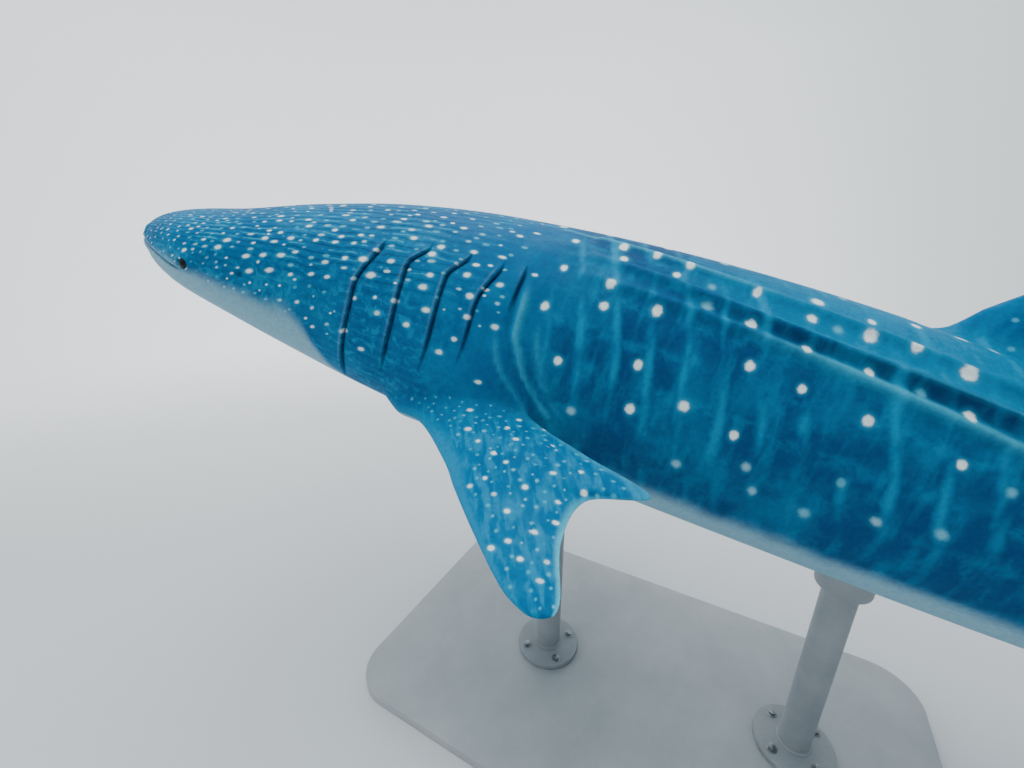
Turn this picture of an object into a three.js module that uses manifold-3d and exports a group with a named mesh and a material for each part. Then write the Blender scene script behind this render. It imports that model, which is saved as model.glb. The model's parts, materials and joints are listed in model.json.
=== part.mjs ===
// A whale shark at life size, swimming with its head turned to its left, held over a flat base
// by two short rods. Millimetres, +Z up, head towards -X, left flank towards -Y.
// The origin is the middle of the base's underside.
import * as THREE from 'three';
import { mergeVertices } from 'three/addons/utils/BufferGeometryUtils.js';
import Module from 'manifold-3d';

const wasm = await Module();
wasm.setup();

// Driving dimensions of the animal. Body sizes without a unit are per cent of the total length.
const totalLength = 7000;
const percent = totalLength / 100;
const gap = 0.3; // mm kept between neighbouring solids

// Pose: nose raised, left side raised, and the heading of the backbone along the body in degrees
const noseUp = 12.56;
const bank = 10.6;
const headings = [[0, 38], [20, 17], [42, 0], [60, -6], [72, -4], [82, 4], [100, 16]];
const stillPoint = 40; // the place along the backbone that the bends turn about
const stillPointAt = { x: 325, y: 125, z: 1630 }; // mm, where the pose puts that place

// Girth of the body at its landmarks: place along it, half width, top and bottom
const girths = [
  { at: 0, halfWidth: 4.7, top: 1.7, bottom: -2.1 }, // snout, before its end is rounded
  { at: 5, halfWidth: 6.8, top: 2.85, bottom: -3.4 }, // eyes
  { at: 10, halfWidth: 7.3, top: 4.55, bottom: -4.9 }, // behind the spiracles
  { at: 16, halfWidth: 7.7, top: 6.15, bottom: -6.2 }, // first gill slit
  { at: 23, halfWidth: 7.8, top: 7.2, bottom: -7.05 }, // pectoral fins
  { at: 34, halfWidth: 7.4, top: 7.8, bottom: -7.2 }, // fullest part of the trunk
  { at: 45, halfWidth: 6.5, top: 7.4, bottom: -6.5 }, // front of the first dorsal fin
  { at: 55, halfWidth: 5.3, top: 6.0, bottom: -5.3 }, // pelvic fins
  { at: 67, halfWidth: 3.8, top: 4.0, bottom: -3.4 }, // second dorsal fin
  { at: 78, halfWidth: 2.3, top: 2.4, bottom: -1.9 }, // thin part of the tail
  { at: 83, halfWidth: 1.5, top: 2.1, bottom: -1.2 }, // between the tail's lobes
  { at: 87, halfWidth: 0.5, top: 1.5, bottom: 0.1 }, // end of the tail's flesh
];
const sectionPower = 2.3; // of the superellipse that each girth follows
const noseLength = 5;
const nosePower = 2.8;

// Where the body is parted
const gillsFrom = 13.4;
const trunkFrom = 28.2;
const rearTrunkFrom = 44.2;
const tailFrom = 62;
const tailTo = 87;

// Mouth: a wide line across the end of the snout, back to a corner below and ahead of each eye
const mouth = { angle: 92, drop: 2.6, corner: 3.9, fade: 1.1, depth: 34, lip: 6 };
const mouthColumns = [-15, -8, -3, 0, 3, 8, 15]; // degrees from the line of the mouth

// Small parts of the head, sizes in mm
const eye = { at: 4.9, angle: 95.5, radius: 31, sunk: 9, rim: 32, rimThickness: 9 };
const spiracle = { at: 8.4, angle: 91, radius: 17 };
const nostril = { at: 0.9, angle: 77, flapLength: 52, flapWidth: 26, slitWidth: 9 };

// Gill slits: place at mid height, the girth angles where each starts and ends, and how far its
// upper end turns towards the tail, from which angle up
const gillSlits = [
  { at: 15.6, top: 59, foot: 138, hook: 1.05, hookFoot: 84 },
  { at: 18.45, top: 57, foot: 116, hook: 1, hookFoot: 62 },
  { at: 20.95, top: 57, foot: 106, hook: 1, hookFoot: 64 },
  { at: 23.15, top: 58, foot: 98, hook: 0.85, hookFoot: 76 },
  { at: 25.2, top: 57, foot: 76, hook: 0.1, hookFoot: 70 },
];
const hookTop = 55; // the girth angle where the turn is full
const gillLean = 0.6; // how far the slits' lower ends lean towards the head
const gillProfile = [[-75, 0], [-7, 12], [0, -26], [12, 3], [60, 0]]; // mm behind the slit, mm proud

// Ridges along each flank: girth angle along the body, and how proud they stand in mm
const ridges = [
  { angles: [[20, 9], [33, 30], [45, 39], [62, 46]], heights: [[26, 0], [33, 20], [52, 16], [66, 0]] },
  { angles: [[26, 38], [40, 50], [48, 52.5], [66, 60]], heights: [[27, 0], [33, 22], [58, 18], [72, 0]] },
  { angles: [[26, 50], [41, 58.5], [48.5, 63.5], [66, 79], [76, 90], [87, 90]],
    heights: [[27, 0], [34, 22], [62, 26], [73, 44], [80, 44], [86, 6]] },
];
const ridgeSpread = 3.6; // degrees from a ridge's crest to its foot

// Fins: matching points of the front and rear edges, root to tip.
// Fins on the midline lie in [along the body, height]; paired fins in [along the root, outwards].
const firstDorsal = {
  front: [[44.6, 5.2], [46.2, 7.9], [48.6, 10.4], [50.9, 12.6], [52.6, 14.0], [53.7, 14.7]],
  rear: [[52.6, 3.6], [54.2, 6.2], [57.2, 7.3], [55.6, 9.6], [54.9, 12.4], [54.8, 14.3]],
  rootThickness: 120,
  tipThickness: 16,
};
const secondDorsal = {
  front: [[65.0, 2.6], [66.6, 4.4], [68.3, 5.9], [69.9, 7.2], [70.7, 7.5]],
  rear: [[69.4, 2.0], [70.2, 3.5], [73.0, 4.0], [71.3, 5.4], [71.2, 7.3]],
  rootThickness: 60,
  tipThickness: 10,
};
const anal = {
  front: [[67.0, -2.0], [68.6, -3.4], [70.2, -4.9], [71.7, -6.2], [72.5, -6.5]],
  rear: [[71.4, -1.4], [72.0, -2.6], [74.8, -3.2], [73.0, -4.6], [73.0, -6.3]],
  rootThickness: 56,
  tipThickness: 10,
};
const caudalUpper = {
  front: [[77.0, 0.6], [79.5, 2.9], [83.0, 6.1], [87.2, 9.9], [91.8, 13.7], [96.2, 16.7], [98.9, 18.0]],
  rear: [[85.5, -1.2], [87.6, 1.2], [89.6, 4.4], [92.4, 8.4], [95.6, 12.3], [98.4, 15.6], [99.8, 17.4]],
  rootThickness: 190,
  tipThickness: 14,
};
const caudalLower = {
  front: [[77.2, -0.2], [79.6, -2.5], [81.7, -5.0], [83.7, -7.7], [85.6, -10.1], [87.2, -11.7]],
  rear: [[87.6, 1.2], [87.0, -1.5], [87.0, -4.3], [87.4, -7.3], [88.0, -9.8], [88.5, -11.4]],
  rootThickness: 160,
  tipThickness: 14,
};
const caudalFork = { from: [81, 0.2], to: [95, 1.4] }; // the line that parts the two lobes

const pectoral = {
  frontRoot: { at: 20, angle: 134 },
  rearRoot: { at: 27.4, angle: 109 },
  droop: 32, // degrees below level
  front: [
    [-3.2, -1.8], [-1.0, 0.5], [1.8, 1.5], [4.7, 3.9], [6.0, 5.3], [8.0, 7.3], [10.1, 9.2], [11.5, 9.9],
  ],
  rear: [
    [6.6, -2.4], [7.9, 0.2], [11.4, 2.3], [14.7, 4.1], [12.2, 4.8], [11.7, 6.8], [12.3, 9.0], [12.2, 9.7],
  ],
  rootThickness: 150,
  tipThickness: 18,
};
const pelvic = {
  frontRoot: { at: 53.6, angle: 142 },
  rearRoot: { at: 57.4, angle: 136 },
  droop: 38,
  front: [[-0.6, -1.6], [0.2, 0.2], [1.8, 1.6], [3.4, 3.0], [4.8, 4.0], [5.4, 4.3]],
  rear: [[3.6, -1.6], [4.2, 0.2], [7.6, 1.5], [6.6, 2.6], [6.0, 3.8], [5.9, 4.2]],
  rootThickness: 56,
  tipThickness: 10,
};

// Display stand, mm
const base = { length: 2700, width: 1500, thickness: 60, corner: 220, bevel: 8 };
const rod = { radius: 65 };
const flange = { radius: 170, height: 32, bevel: 8 };
const collar = { radius: 100, drop: 80, bevel: 10 };
const rodPlaces = { front: 29.6, rear: 47.6 }; // along the body

const flesh = { color: 0x1f5f8b, roughness: 0.55, metalness: 0 };
const finFlesh = { color: 0x2a7299, roughness: 0.55, metalness: 0 };
const eyeGlass = { color: 0x0b1014, roughness: 0.12, metalness: 0 };
const standPaint = { color: 0x8b9196, roughness: 0.5, metalness: 0.1 };

// A smooth curve through points [place, value], flat beyond its ends
function curve(points) {
  const slope = (i) => {
    const before = points[Math.max(i - 1, 0)];
    const after = points[Math.min(i + 1, points.length - 1)];
    return (after[1] - before[1]) / (after[0] - before[0]);
  };
  return (place) => {
    if (place <= points[0][0]) return points[0][1];
    const last = points[points.length - 1];
    if (place >= last[0]) return last[1];
    const i = points.findIndex((point) => point[0] > place) - 1;
    const [x0, y0] = points[i];
    const [x1, y1] = points[i + 1];
    const width = x1 - x0;
    const t = (place - x0) / width;
    const rise = y0 * (1 + 2 * t) * (1 - t) ** 2 + y1 * t * t * (3 - 2 * t);
    return rise + width * t * (1 - t) * (slope(i) * (1 - t) - slope(i + 1) * t);
  };
}

function ramp(from, to, value) {
  const t = THREE.MathUtils.clamp((value - from) / (to - from), 0, 1);
  return t * t * (3 - 2 * t);
}

const halfWidthAt = curve(girths.map((girth) => [girth.at, girth.halfWidth]));
const topAt = curve(girths.map((girth) => [girth.at, girth.top]));
const bottomAt = curve(girths.map((girth) => [girth.at, girth.bottom]));
const headingAt = curve(headings);
const hookAt = curve(gillSlits.map((slit) => [slit.at, slit.hook]));
const hookFootAt = curve(gillSlits.map((slit) => [slit.at, slit.hookFoot]));
const ridgeCurves = ridges.map((ridge) => ({ angle: curve(ridge.angles), height: curve(ridge.heights) }));

// The backbone's course seen from above, in steps of a quarter of a per cent
const stepsPerPercent = 4;
const backbone = [{ x: 0, y: 0 }];
for (let i = 0; i < 100 * stepsPerPercent; i += 1) {
  const heading = THREE.MathUtils.degToRad(headingAt((i + 0.5) / stepsPerPercent));
  const { x, y } = backbone[i];
  backbone.push({ x: x + Math.cos(heading) / stepsPerPercent, y: y + Math.sin(heading) / stepsPerPercent });
}
const still = backbone[stillPoint * stepsPerPercent];

// A point beside the backbone, in mm: along it, to the left and up in per cent
function beside(along, left, up) {
  const step = THREE.MathUtils.clamp(along * stepsPerPercent, 0, backbone.length - 1.001);
  const i = Math.floor(step);
  const t = step - i;
  const heading = THREE.MathUtils.degToRad(headingAt(along));
  const x = THREE.MathUtils.lerp(backbone[i].x, backbone[i + 1].x, t) - still.x;
  const y = THREE.MathUtils.lerp(backbone[i].y, backbone[i + 1].y, t) - still.y;
  const before = Math.min(along, 0) + Math.max(along - 100, 0);
  return new THREE.Vector3(
    x + left * Math.sin(heading) + before * Math.cos(heading),
    y - left * Math.cos(heading) + before * Math.sin(heading),
    up,
  ).multiplyScalar(percent);
}

function powered(value) {
  return Math.sign(value) * Math.abs(value) ** (2 / sectionPower);
}

// The bare body: girth angles run from the midline of the back, 0, over the left flank, 90
function barePoint(along, angle) {
  const ahead = 1 - THREE.MathUtils.clamp(along / noseLength, 0, 1);
  const nose = (1 - ahead ** nosePower) ** (1 / nosePower);
  const turn = THREE.MathUtils.degToRad(angle);
  const height = Math.cos(turn) > 0 ? topAt(along) : -bottomAt(along);
  const left = powered(Math.sin(turn)) * halfWidthAt(along) * nose;
  return beside(along, left, powered(Math.cos(turn)) * height * nose);
}

// The skin's outward direction, square to the backbone once past the snout
function outwards(along, angle) {
  if (along < 0.001) {
    const heading = THREE.MathUtils.degToRad(headingAt(0));
    return new THREE.Vector3(-Math.cos(heading), -Math.sin(heading), 0);
  }
  const nudge = Math.min(0.05, along / 2);
  const tailwards = barePoint(along + nudge, angle).sub(barePoint(along - nudge, angle));
  const around = barePoint(along, angle + 1).sub(barePoint(along, angle - 1));
  const outward = around.cross(tailwards).normalize();
  const heading = THREE.MathUtils.degToRad(headingAt(along));
  const tailward = new THREE.Vector3(Math.cos(heading), Math.sin(heading), 0);
  const square = ramp(noseLength, noseLength + 3, along);
  return outward.addScaledVector(tailward, -square * outward.dot(tailward)).normalize();
}

function tent(distance) {
  return Math.max(1 - Math.abs(distance), 0);
}

// Degrees from the midline of the back, the same on both flanks
function fromBack(angle) {
  const turned = ((angle % 360) + 360) % 360;
  return Math.min(turned, 360 - turned);
}

function mouthAngle(along) {
  return mouth.angle + mouth.drop * Math.min(along, mouth.corner);
}

function mouthRelief(along, side) {
  const fade = 1 - ramp(mouth.corner, mouth.corner + mouth.fade, along);
  const away = Math.abs(side - mouthAngle(along));
  return fade * (mouth.lip * tent((away - 8) / 6) - mouth.depth * tent(away / 3));
}

function gillWeight(along) {
  return ramp(gillsFrom, gillsFrom + 1.2, along) * (1 - ramp(trunkFrom - 2, trunkFrom, along));
}

function gillShift(along, angle) {
  const lean = gillLean * Math.min(Math.cos(THREE.MathUtils.degToRad(angle)), 0);
  const hook = hookAt(along) * ramp(-hookFootAt(along), -hookTop, -fromBack(angle));
  return (lean + hook) * gillWeight(along);
}

function gillRelief(along, side) {
  let proud = 0;
  for (const slit of gillSlits) {
    const open = ramp(slit.top - 5, slit.top + 4, side) * (1 - ramp(slit.foot - 6, slit.foot + 4, side));
    const behind = (along - slit.at) * percent;
    const i = gillProfile.findIndex((point) => point[0] > behind);
    if (i > 0) {
      const [x0, y0] = gillProfile[i - 1];
      const [x1, y1] = gillProfile[i];
      proud += open * THREE.MathUtils.mapLinear(behind, x0, x1, y0, y1);
    }
  }
  return proud;
}

function ridgeRelief(along, side) {
  const heights = ridgeCurves.map(
    (ridge) => ridge.height(along) * tent((side - ridge.angle(along)) / ridgeSpread),
  );
  return Math.max(...heights);
}

function skinPoint(along, angle, lift = 0) {
  const side = fromBack(angle);
  let place = along;
  let proud = lift;
  if (along < gillsFrom) {
    proud += mouthRelief(along, side);
  } else if (along < trunkFrom) {
    proud += gillRelief(along, side);
    place += gillShift(along, angle);
  } else {
    proud += ridgeRelief(along, side);
  }
  return barePoint(place, angle).addScaledVector(outwards(place, angle), proud);
}

// Girth angles of the columns of one flank, back to belly, at a place along the body
function headColumns(along) {
  const line = mouthAngle(along);
  const above = [0, 16, 32, 46, 58, 68].map((angle) => (angle * (line - 15)) / 77);
  const below = [0.25, 0.45, 0.65, 0.83, 1].map((t) => THREE.MathUtils.lerp(line + 15, 180, t));
  return [...above, ...mouthColumns.map((offset) => line + offset), ...below];
}

function gillColumns() {
  const back = [0, 12, 24, 36, 46];
  const slits = Array.from({ length: 15 }, (_, i) => 53 + i * 6);
  return [...back, ...slits, 146, 157, 168, 180];
}

function trunkColumns(along) {
  const crests = ridgeCurves.map((ridge) => ridge.angle(along));
  const [upper, middle, lower] = crests;
  const around = (crest) => [crest - ridgeSpread, crest, crest + ridgeSpread];
  const under = Array.from({ length: 8 }, (_, i) => (
    THREE.MathUtils.lerp(lower + ridgeSpread, 180, ((i + 1) / 8) ** 0.9)
  ));
  const between = (upper + middle) / 2;
  return [0, upper / 2, ...around(upper), between, ...around(middle), ...around(lower), ...under];
}

function asGeometry(solid) {
  const mesh = solid.getMesh();
  const corners = new Float32Array(mesh.numVert * 3);
  for (let i = 0; i < mesh.numVert; i += 1) {
    corners.set(mesh.vertProperties.subarray(i * mesh.numProp, i * mesh.numProp + 3), i * 3);
  }
  const geometry = new THREE.BufferGeometry();
  geometry.setAttribute('position', new THREE.BufferAttribute(corners, 3));
  geometry.setIndex(new THREE.BufferAttribute(new Uint32Array(mesh.triVerts), 1));
  return geometry;
}

function merged(geometry) {
  geometry.deleteAttribute('normal');
  geometry.deleteAttribute('uv');
  return mergeVertices(geometry, 1e-4);
}

function asSolid(geometry) {
  const closed = merged(geometry.clone());
  const vertProperties = new Float32Array(closed.attributes.position.array);
  const triVerts = new Uint32Array(closed.index.array);
  return new wasm.Manifold(new wasm.Mesh({ numProp: 3, vertProperties, triVerts }));
}

function largest(solid) {
  return solid.decompose().reduce((best, piece) => (piece.volume() > best.volume() ? piece : best));
}

// A closed loft of rings with as many corners each, from the head end to the tail end.
// cornerAt(ring, column) gives its corners; with a pointed front all of the first ring's are one.
function loft(rings, columns, cornerAt, pointed) {
  const geometry = new THREE.CylinderGeometry(pointed ? 0 : 1, 1, 1, columns, rings);
  const corners = geometry.attributes.position;
  const set = (index, corner) => corners.setXYZ(index, corner.x, corner.y, corner.z);
  const middleOf = (ring) => {
    const middle = new THREE.Vector3();
    for (let column = 0; column < columns; column += 1) middle.add(cornerAt(ring, column));
    return middle.divideScalar(columns);
  };
  let index = 0;
  for (let ring = 0; ring <= rings; ring += 1) {
    for (let column = 0; column <= columns; column += 1) {
      set(index, cornerAt(ring, column % columns));
      index += 1;
    }
  }
  for (const ring of pointed ? [rings] : [0, rings]) {
    const middle = middleOf(ring);
    for (let column = 0; column < columns; column += 1) {
      set(index, middle);
      index += 1;
    }
    for (let column = 0; column <= columns; column += 1) {
      set(index, cornerAt(ring, column % columns));
      index += 1;
    }
  }
  return geometry;
}

// A length of the body through the given places, its skin lifted by the given mm
function bodyLength(places, columnsOf, lift, pointed = false) {
  const half = columnsOf(places[0]).length - 1;
  const cornerAt = (ring, column) => {
    const along = places[ring];
    if (pointed && ring === 0) return skinPoint(along, mouth.angle, lift);
    const angles = columnsOf(along);
    const angle = column <= half ? -angles[column] : angles[2 * half - column];
    return skinPoint(along, angle, lift);
  };
  return merged(loft(places.length - 1, 2 * half, cornerAt, pointed));
}

function evenly(from, to, steps) {
  return Array.from({ length: steps + 1 }, (_, i) => THREE.MathUtils.lerp(from, to, i / steps));
}

// Half of the gap is taken off each end that meets a neighbour
const halfGap = gap / 2 / percent;

function headPlaces(trim) {
  const fractions = [0, 0.14, 0.3, 0.46, 0.6, 0.72, 0.82, 0.9, 0.96];
  const round = fractions.map((r) => noseLength * (1 - (1 - r ** nosePower) ** (1 / nosePower)));
  return [...round, 3.3, 3.9, 4.6, ...evenly(5.4, gillsFrom - trim, 7)];
}

function gillPlaces(trim) {
  const places = [gillsFrom + trim, 14.3, 15.0];
  gillSlits.forEach((slit, i) => {
    const next = gillSlits[i + 1];
    places.push(...[-7, 0, 12].map((behind) => slit.at + behind / percent));
    if (next) places.push(...evenly(slit.at + 0.6, next.at - 0.5, next.at - slit.at > 2 ? 2 : 1));
  });
  return [...places, 25.95, 26.7, 27.5, trunkFrom - trim];
}

const evenPlaces = (from, to, steps) => (trim) => evenly(from + trim, to - trim, steps);

const bodyParts = [
  { name: 'head', places: headPlaces, columns: headColumns, pointed: true },
  { name: 'gill_region', places: gillPlaces, columns: gillColumns },
  { name: 'trunk_front', places: evenPlaces(trunkFrom, rearTrunkFrom, 9), columns: trunkColumns },
  { name: 'trunk_rear', places: evenPlaces(rearTrunkFrom, tailFrom, 9), columns: trunkColumns },
  { name: 'tail_stock', places: evenPlaces(tailFrom, tailTo, 12), columns: trunkColumns },
];

// Each length of the body, and a copy swollen by the gap that its neighbours are cut with
const body = {};
const swollen = {};
for (const part of bodyParts) {
  body[part.name] = asSolid(bodyLength(part.places(halfGap), part.columns, 0, part.pointed));
  swollen[part.name] = asSolid(bodyLength(part.places(-halfGap), part.columns, gap, part.pointed));
}

// Turns a piece modelled at the origin so that its +Z points out of the skin there
function onSkin(geometry, at, angle, sink) {
  const outward = outwards(at, angle);
  const tailward = barePoint(at + 0.1, angle).sub(barePoint(at, angle)).normalize();
  const across = new THREE.Vector3().crossVectors(outward, tailward).normalize();
  const turn = new THREE.Matrix4().makeBasis(tailward.crossVectors(across, outward), across, outward);
  geometry.applyMatrix4(turn);
  const place = barePoint(at, angle).addScaledVector(outward, -sink);
  return geometry.translate(place.x, place.y, place.z);
}

const sides = { left: 1, right: -1 };

function eyeRim(side, swell) {
  const ring = new THREE.TorusGeometry(eye.rim, eye.rimThickness + swell, 6, 16);
  return asSolid(onSkin(ring, eye.at, side * eye.angle, 0));
}

function nostrilFlap(side, swell) {
  const flap = new THREE.SphereGeometry(1, 12, 8);
  flap.scale(nostril.flapWidth / 2 + swell, nostril.flapLength / 2 + swell, 15 + swell);
  return asSolid(onSkin(flap, nostril.at, side * nostril.angle, 6));
}

function nostrilSlit(side) {
  const slit = new THREE.SphereGeometry(1, 8, 6);
  slit.scale(nostril.slitWidth / 2, nostril.flapLength * 0.36, 14);
  return asSolid(onSkin(slit, nostril.at, side * nostril.angle, -12));
}

function spiraclePit(side) {
  const pit = new THREE.SphereGeometry(spiracle.radius, 12, 8);
  return asSolid(onSkin(pit, spiracle.at, side * spiracle.angle, 2));
}

const eyes = {};
for (const [name, side] of Object.entries(sides)) {
  body.head = body.head.add(eyeRim(side, 0)).add(nostrilFlap(side, 0));
  body.head = body.head.subtract(nostrilSlit(side)).subtract(spiraclePit(side));
  const ball = onSkin(new THREE.SphereGeometry(eye.radius, 16, 10), eye.at, side * eye.angle, eye.sunk);
  eyes[name] = largest(asSolid(ball).subtract(swollen.head).subtract(eyeRim(side, gap)));
}
body.head = largest(body.head);

// The quads of a lens-shaped loft's far face are split the other way, to match its near face
function splitAlike(geometry, rings, columns) {
  const { index } = geometry;
  for (let column = columns / 2; column < columns; column += 1) {
    for (let ring = 0; ring < rings; ring += 1) {
      const first = (column * rings + ring) * 6;
      const a = index.getX(first);
      const b = index.getX(first + 1);
      const d = index.getX(first + 2);
      const c = index.getX(first + 4);
      [a, b, c, a, c, d].forEach((corner, i) => index.setX(first + i, corner));
    }
  }
}

// A fin as a thin lens between its front and rear edges. inSpace(along, out, across) places it.
function finGeometry(fin, inSpace) {
  const rowsPerPoint = 2;
  const columns = 16;
  const rows = (fin.front.length - 1) * rowsPerPoint;
  const edge = (points) => new THREE.SplineCurve(points.map((point) => new THREE.Vector2(...point)));
  const front = edge(fin.front);
  const rear = edge(fin.rear);
  const cornerAt = (row, column) => {
    const turn = (column / columns) * 2 * Math.PI;
    const back = (1 - Math.cos(turn)) / 2;
    const out = row / rows;
    const place = front.getPoint(out).lerp(rear.getPoint(out), back);
    const thickness = THREE.MathUtils.lerp(fin.rootThickness, fin.tipThickness, out ** 0.75);
    const across = Math.sin(turn) * (1.2 - 0.75 * back) * thickness * 0.5;
    return inSpace(place.x, place.y, across);
  };
  const geometry = loft(rows, columns, cornerAt, false);
  splitAlike(geometry, rows, columns);
  return merged(geometry);
}

function facingOut(solidOf) {
  const solid = solidOf(1);
  return solid.volume() > 0 ? solid : solidOf(-1);
}

function cutClear(solid, ...neighbours) {
  return largest(neighbours.reduce((rest, neighbour) => rest.subtract(neighbour), solid));
}

function midlineFin(fin, ...neighbours) {
  const whole = facingOut((way) => asSolid(finGeometry(
    fin,
    (along, height, across) => beside(along, (way * across) / percent, height),
  )));
  return cutClear(whole, ...neighbours);
}

function pairedFin(fin, side, ...neighbours) {
  const frontRoot = barePoint(fin.frontRoot.at, side * fin.frontRoot.angle);
  const rearRoot = barePoint(fin.rearRoot.at, side * fin.rearRoot.angle);
  const along = rearRoot.clone().sub(frontRoot).normalize();
  const down = new THREE.Vector3(0, 0, -1);
  down.addScaledVector(along, -down.dot(along)).normalize();
  const level = new THREE.Vector3().crossVectors(along, down).normalize();
  if (level.y * side > 0) level.negate();
  const droop = THREE.MathUtils.degToRad(fin.droop);
  const out = level.multiplyScalar(Math.cos(droop)).addScaledVector(down, Math.sin(droop));
  const across = new THREE.Vector3().crossVectors(along, out).normalize();
  const whole = facingOut((way) => asSolid(finGeometry(fin, (chord, span, thick) => (
    frontRoot.clone()
      .addScaledVector(along, chord * percent)
      .addScaledVector(out, span * percent)
      .addScaledVector(across, way * thick)
  ))));
  return cutClear(whole, ...neighbours);
}

const fins = {
  first_dorsal_fin: midlineFin(firstDorsal, swollen.trunk_rear, swollen.trunk_front),
  second_dorsal_fin: midlineFin(secondDorsal, swollen.tail_stock),
  anal_fin: midlineFin(anal, swollen.tail_stock),
};
for (const [name, side] of Object.entries(sides)) {
  const flank = [swollen.gill_region, swollen.trunk_front];
  fins[`pectoral_fin_${name}`] = pairedFin(pectoral, side, ...flank);
  fins[`pelvic_fin_${name}`] = pairedFin(pelvic, side, swollen.trunk_rear);
}

// The tail's two lobes, parted by a thin plane from the end of the flesh out through the fork
function forkPlane() {
  const [fromAlong, fromHeight] = caudalFork.from;
  const [toAlong, toHeight] = caudalFork.to;
  const start = beside(fromAlong, 0, fromHeight);
  const end = beside(toAlong, 0, toHeight);
  const length = start.distanceTo(end);
  const plane = new THREE.BoxGeometry(length, 800, gap);
  plane.applyQuaternion(new THREE.Quaternion().setFromUnitVectors(
    new THREE.Vector3(1, 0, 0),
    end.clone().sub(start).normalize(),
  ));
  const middle = start.add(end).multiplyScalar(0.5);
  return asSolid(plane.translate(middle.x, middle.y, middle.z));
}

const caudal = [caudalUpper, caudalLower]
  .map((fin) => midlineFin(fin, swollen.tail_stock))
  .reduce((upper, lower) => upper.add(lower));
const lobes = caudal.subtract(forkPlane()).decompose();
lobes.sort((a, b) => b.volume() - a.volume()).splice(2);
const middleHeight = (solid) => {
  const box = solid.boundingBox();
  return box.min[2] + box.max[2];
};
lobes.sort((a, b) => middleHeight(b) - middleHeight(a));
[fins.caudal_upper_lobe, fins.caudal_lower_lobe] = lobes;

// The animal, posed as one
const animal = new THREE.Group();
animal.position.set(stillPointAt.x, stillPointAt.y, stillPointAt.z);
animal.rotation.set(
  THREE.MathUtils.degToRad(-bank),
  THREE.MathUtils.degToRad(noseUp),
  0,
  'YXZ',
);
animal.updateMatrixWorld(true);

function addPiece(group, name, geometry, finish) {
  const mesh = new THREE.Mesh(geometry, new THREE.MeshStandardMaterial(finish));
  mesh.name = name;
  group.add(mesh);
}

for (const [name, solid] of Object.entries(body)) addPiece(animal, name, asGeometry(solid), flesh);
for (const [name, solid] of Object.entries(fins)) addPiece(animal, name, asGeometry(solid), finFlesh);
for (const [name, solid] of Object.entries(eyes)) {
  addPiece(animal, `eye_${name}`, asGeometry(solid), eyeGlass);
}

// The stand stands level, its rods cut to the belly
function baseGeometry() {
  const halfLength = base.length / 2 - base.bevel;
  const halfWidth = base.width / 2 - base.bevel;
  const outline = new THREE.Shape();
  const corners = [[1, 1], [-1, 1], [-1, -1], [1, -1]];
  corners.forEach(([x, y], i) => {
    const middle = { x: x * (halfLength - base.corner), y: y * (halfWidth - base.corner) };
    outline.absarc(middle.x, middle.y, base.corner, (i * Math.PI) / 2, ((i + 1) * Math.PI) / 2);
  });
  const plate = new THREE.ExtrudeGeometry(outline, {
    depth: base.thickness - 2 * base.bevel,
    bevelThickness: base.bevel,
    bevelSize: base.bevel,
    bevelSegments: 1,
    curveSegments: 6,
    steps: 1,
  });
  return plate.translate(0, 0, base.bevel);
}

function turned(radius, foot, top, bevel, sides, middle) {
  const profile = [
    [0, foot],
    [radius, foot],
    [radius, top - bevel],
    [radius - bevel, top],
    [0, top],
  ].map(([across, height]) => new THREE.Vector2(across, height));
  const shape = new THREE.LatheGeometry(profile, sides);
  return shape.rotateX(Math.PI / 2).translate(middle.x, middle.y, 0);
}

// A rod, its round foot plate and the collar that cradles the belly, which is cut to the skin
function addRod(group, name, along, ...lengths) {
  const belly = animal.localToWorld(barePoint(along, 180));
  const plateTop = base.thickness + gap + flange.height;
  const collarFoot = belly.z - collar.drop;
  const posed = lengths.map((length) => asSolid(asGeometry(length).applyMatrix4(animal.matrixWorld)));
  const plate = turned(flange.radius, base.thickness + gap, plateTop, flange.bevel, 24, belly);
  const shaft = turned(rod.radius, plateTop + gap, collarFoot - gap, 0, 20, belly);
  const cradle = turned(collar.radius, collarFoot, belly.z + collar.drop, collar.bevel, 24, belly);
  addPiece(group, `stand_foot_${name}`, merged(plate), standPaint);
  addPiece(group, `stand_rod_${name}`, merged(shaft), standPaint);
  addPiece(group, `stand_collar_${name}`, asGeometry(cutClear(asSolid(cradle), ...posed)), standPaint);
}

const stand = new THREE.Group();
addPiece(stand, 'stand_base', merged(baseGeometry()), standPaint);
addRod(stand, 'front', rodPlaces.front, swollen.gill_region, swollen.trunk_front);
addRod(stand, 'rear', rodPlaces.rear, swollen.trunk_front, swollen.trunk_rear);

const group = new THREE.Group();
group.add(animal, stand);

export default group;
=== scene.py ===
import json
import math
import random

import bpy
import numpy as np
from mathutils import Matrix, Vector, kdtree

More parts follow.
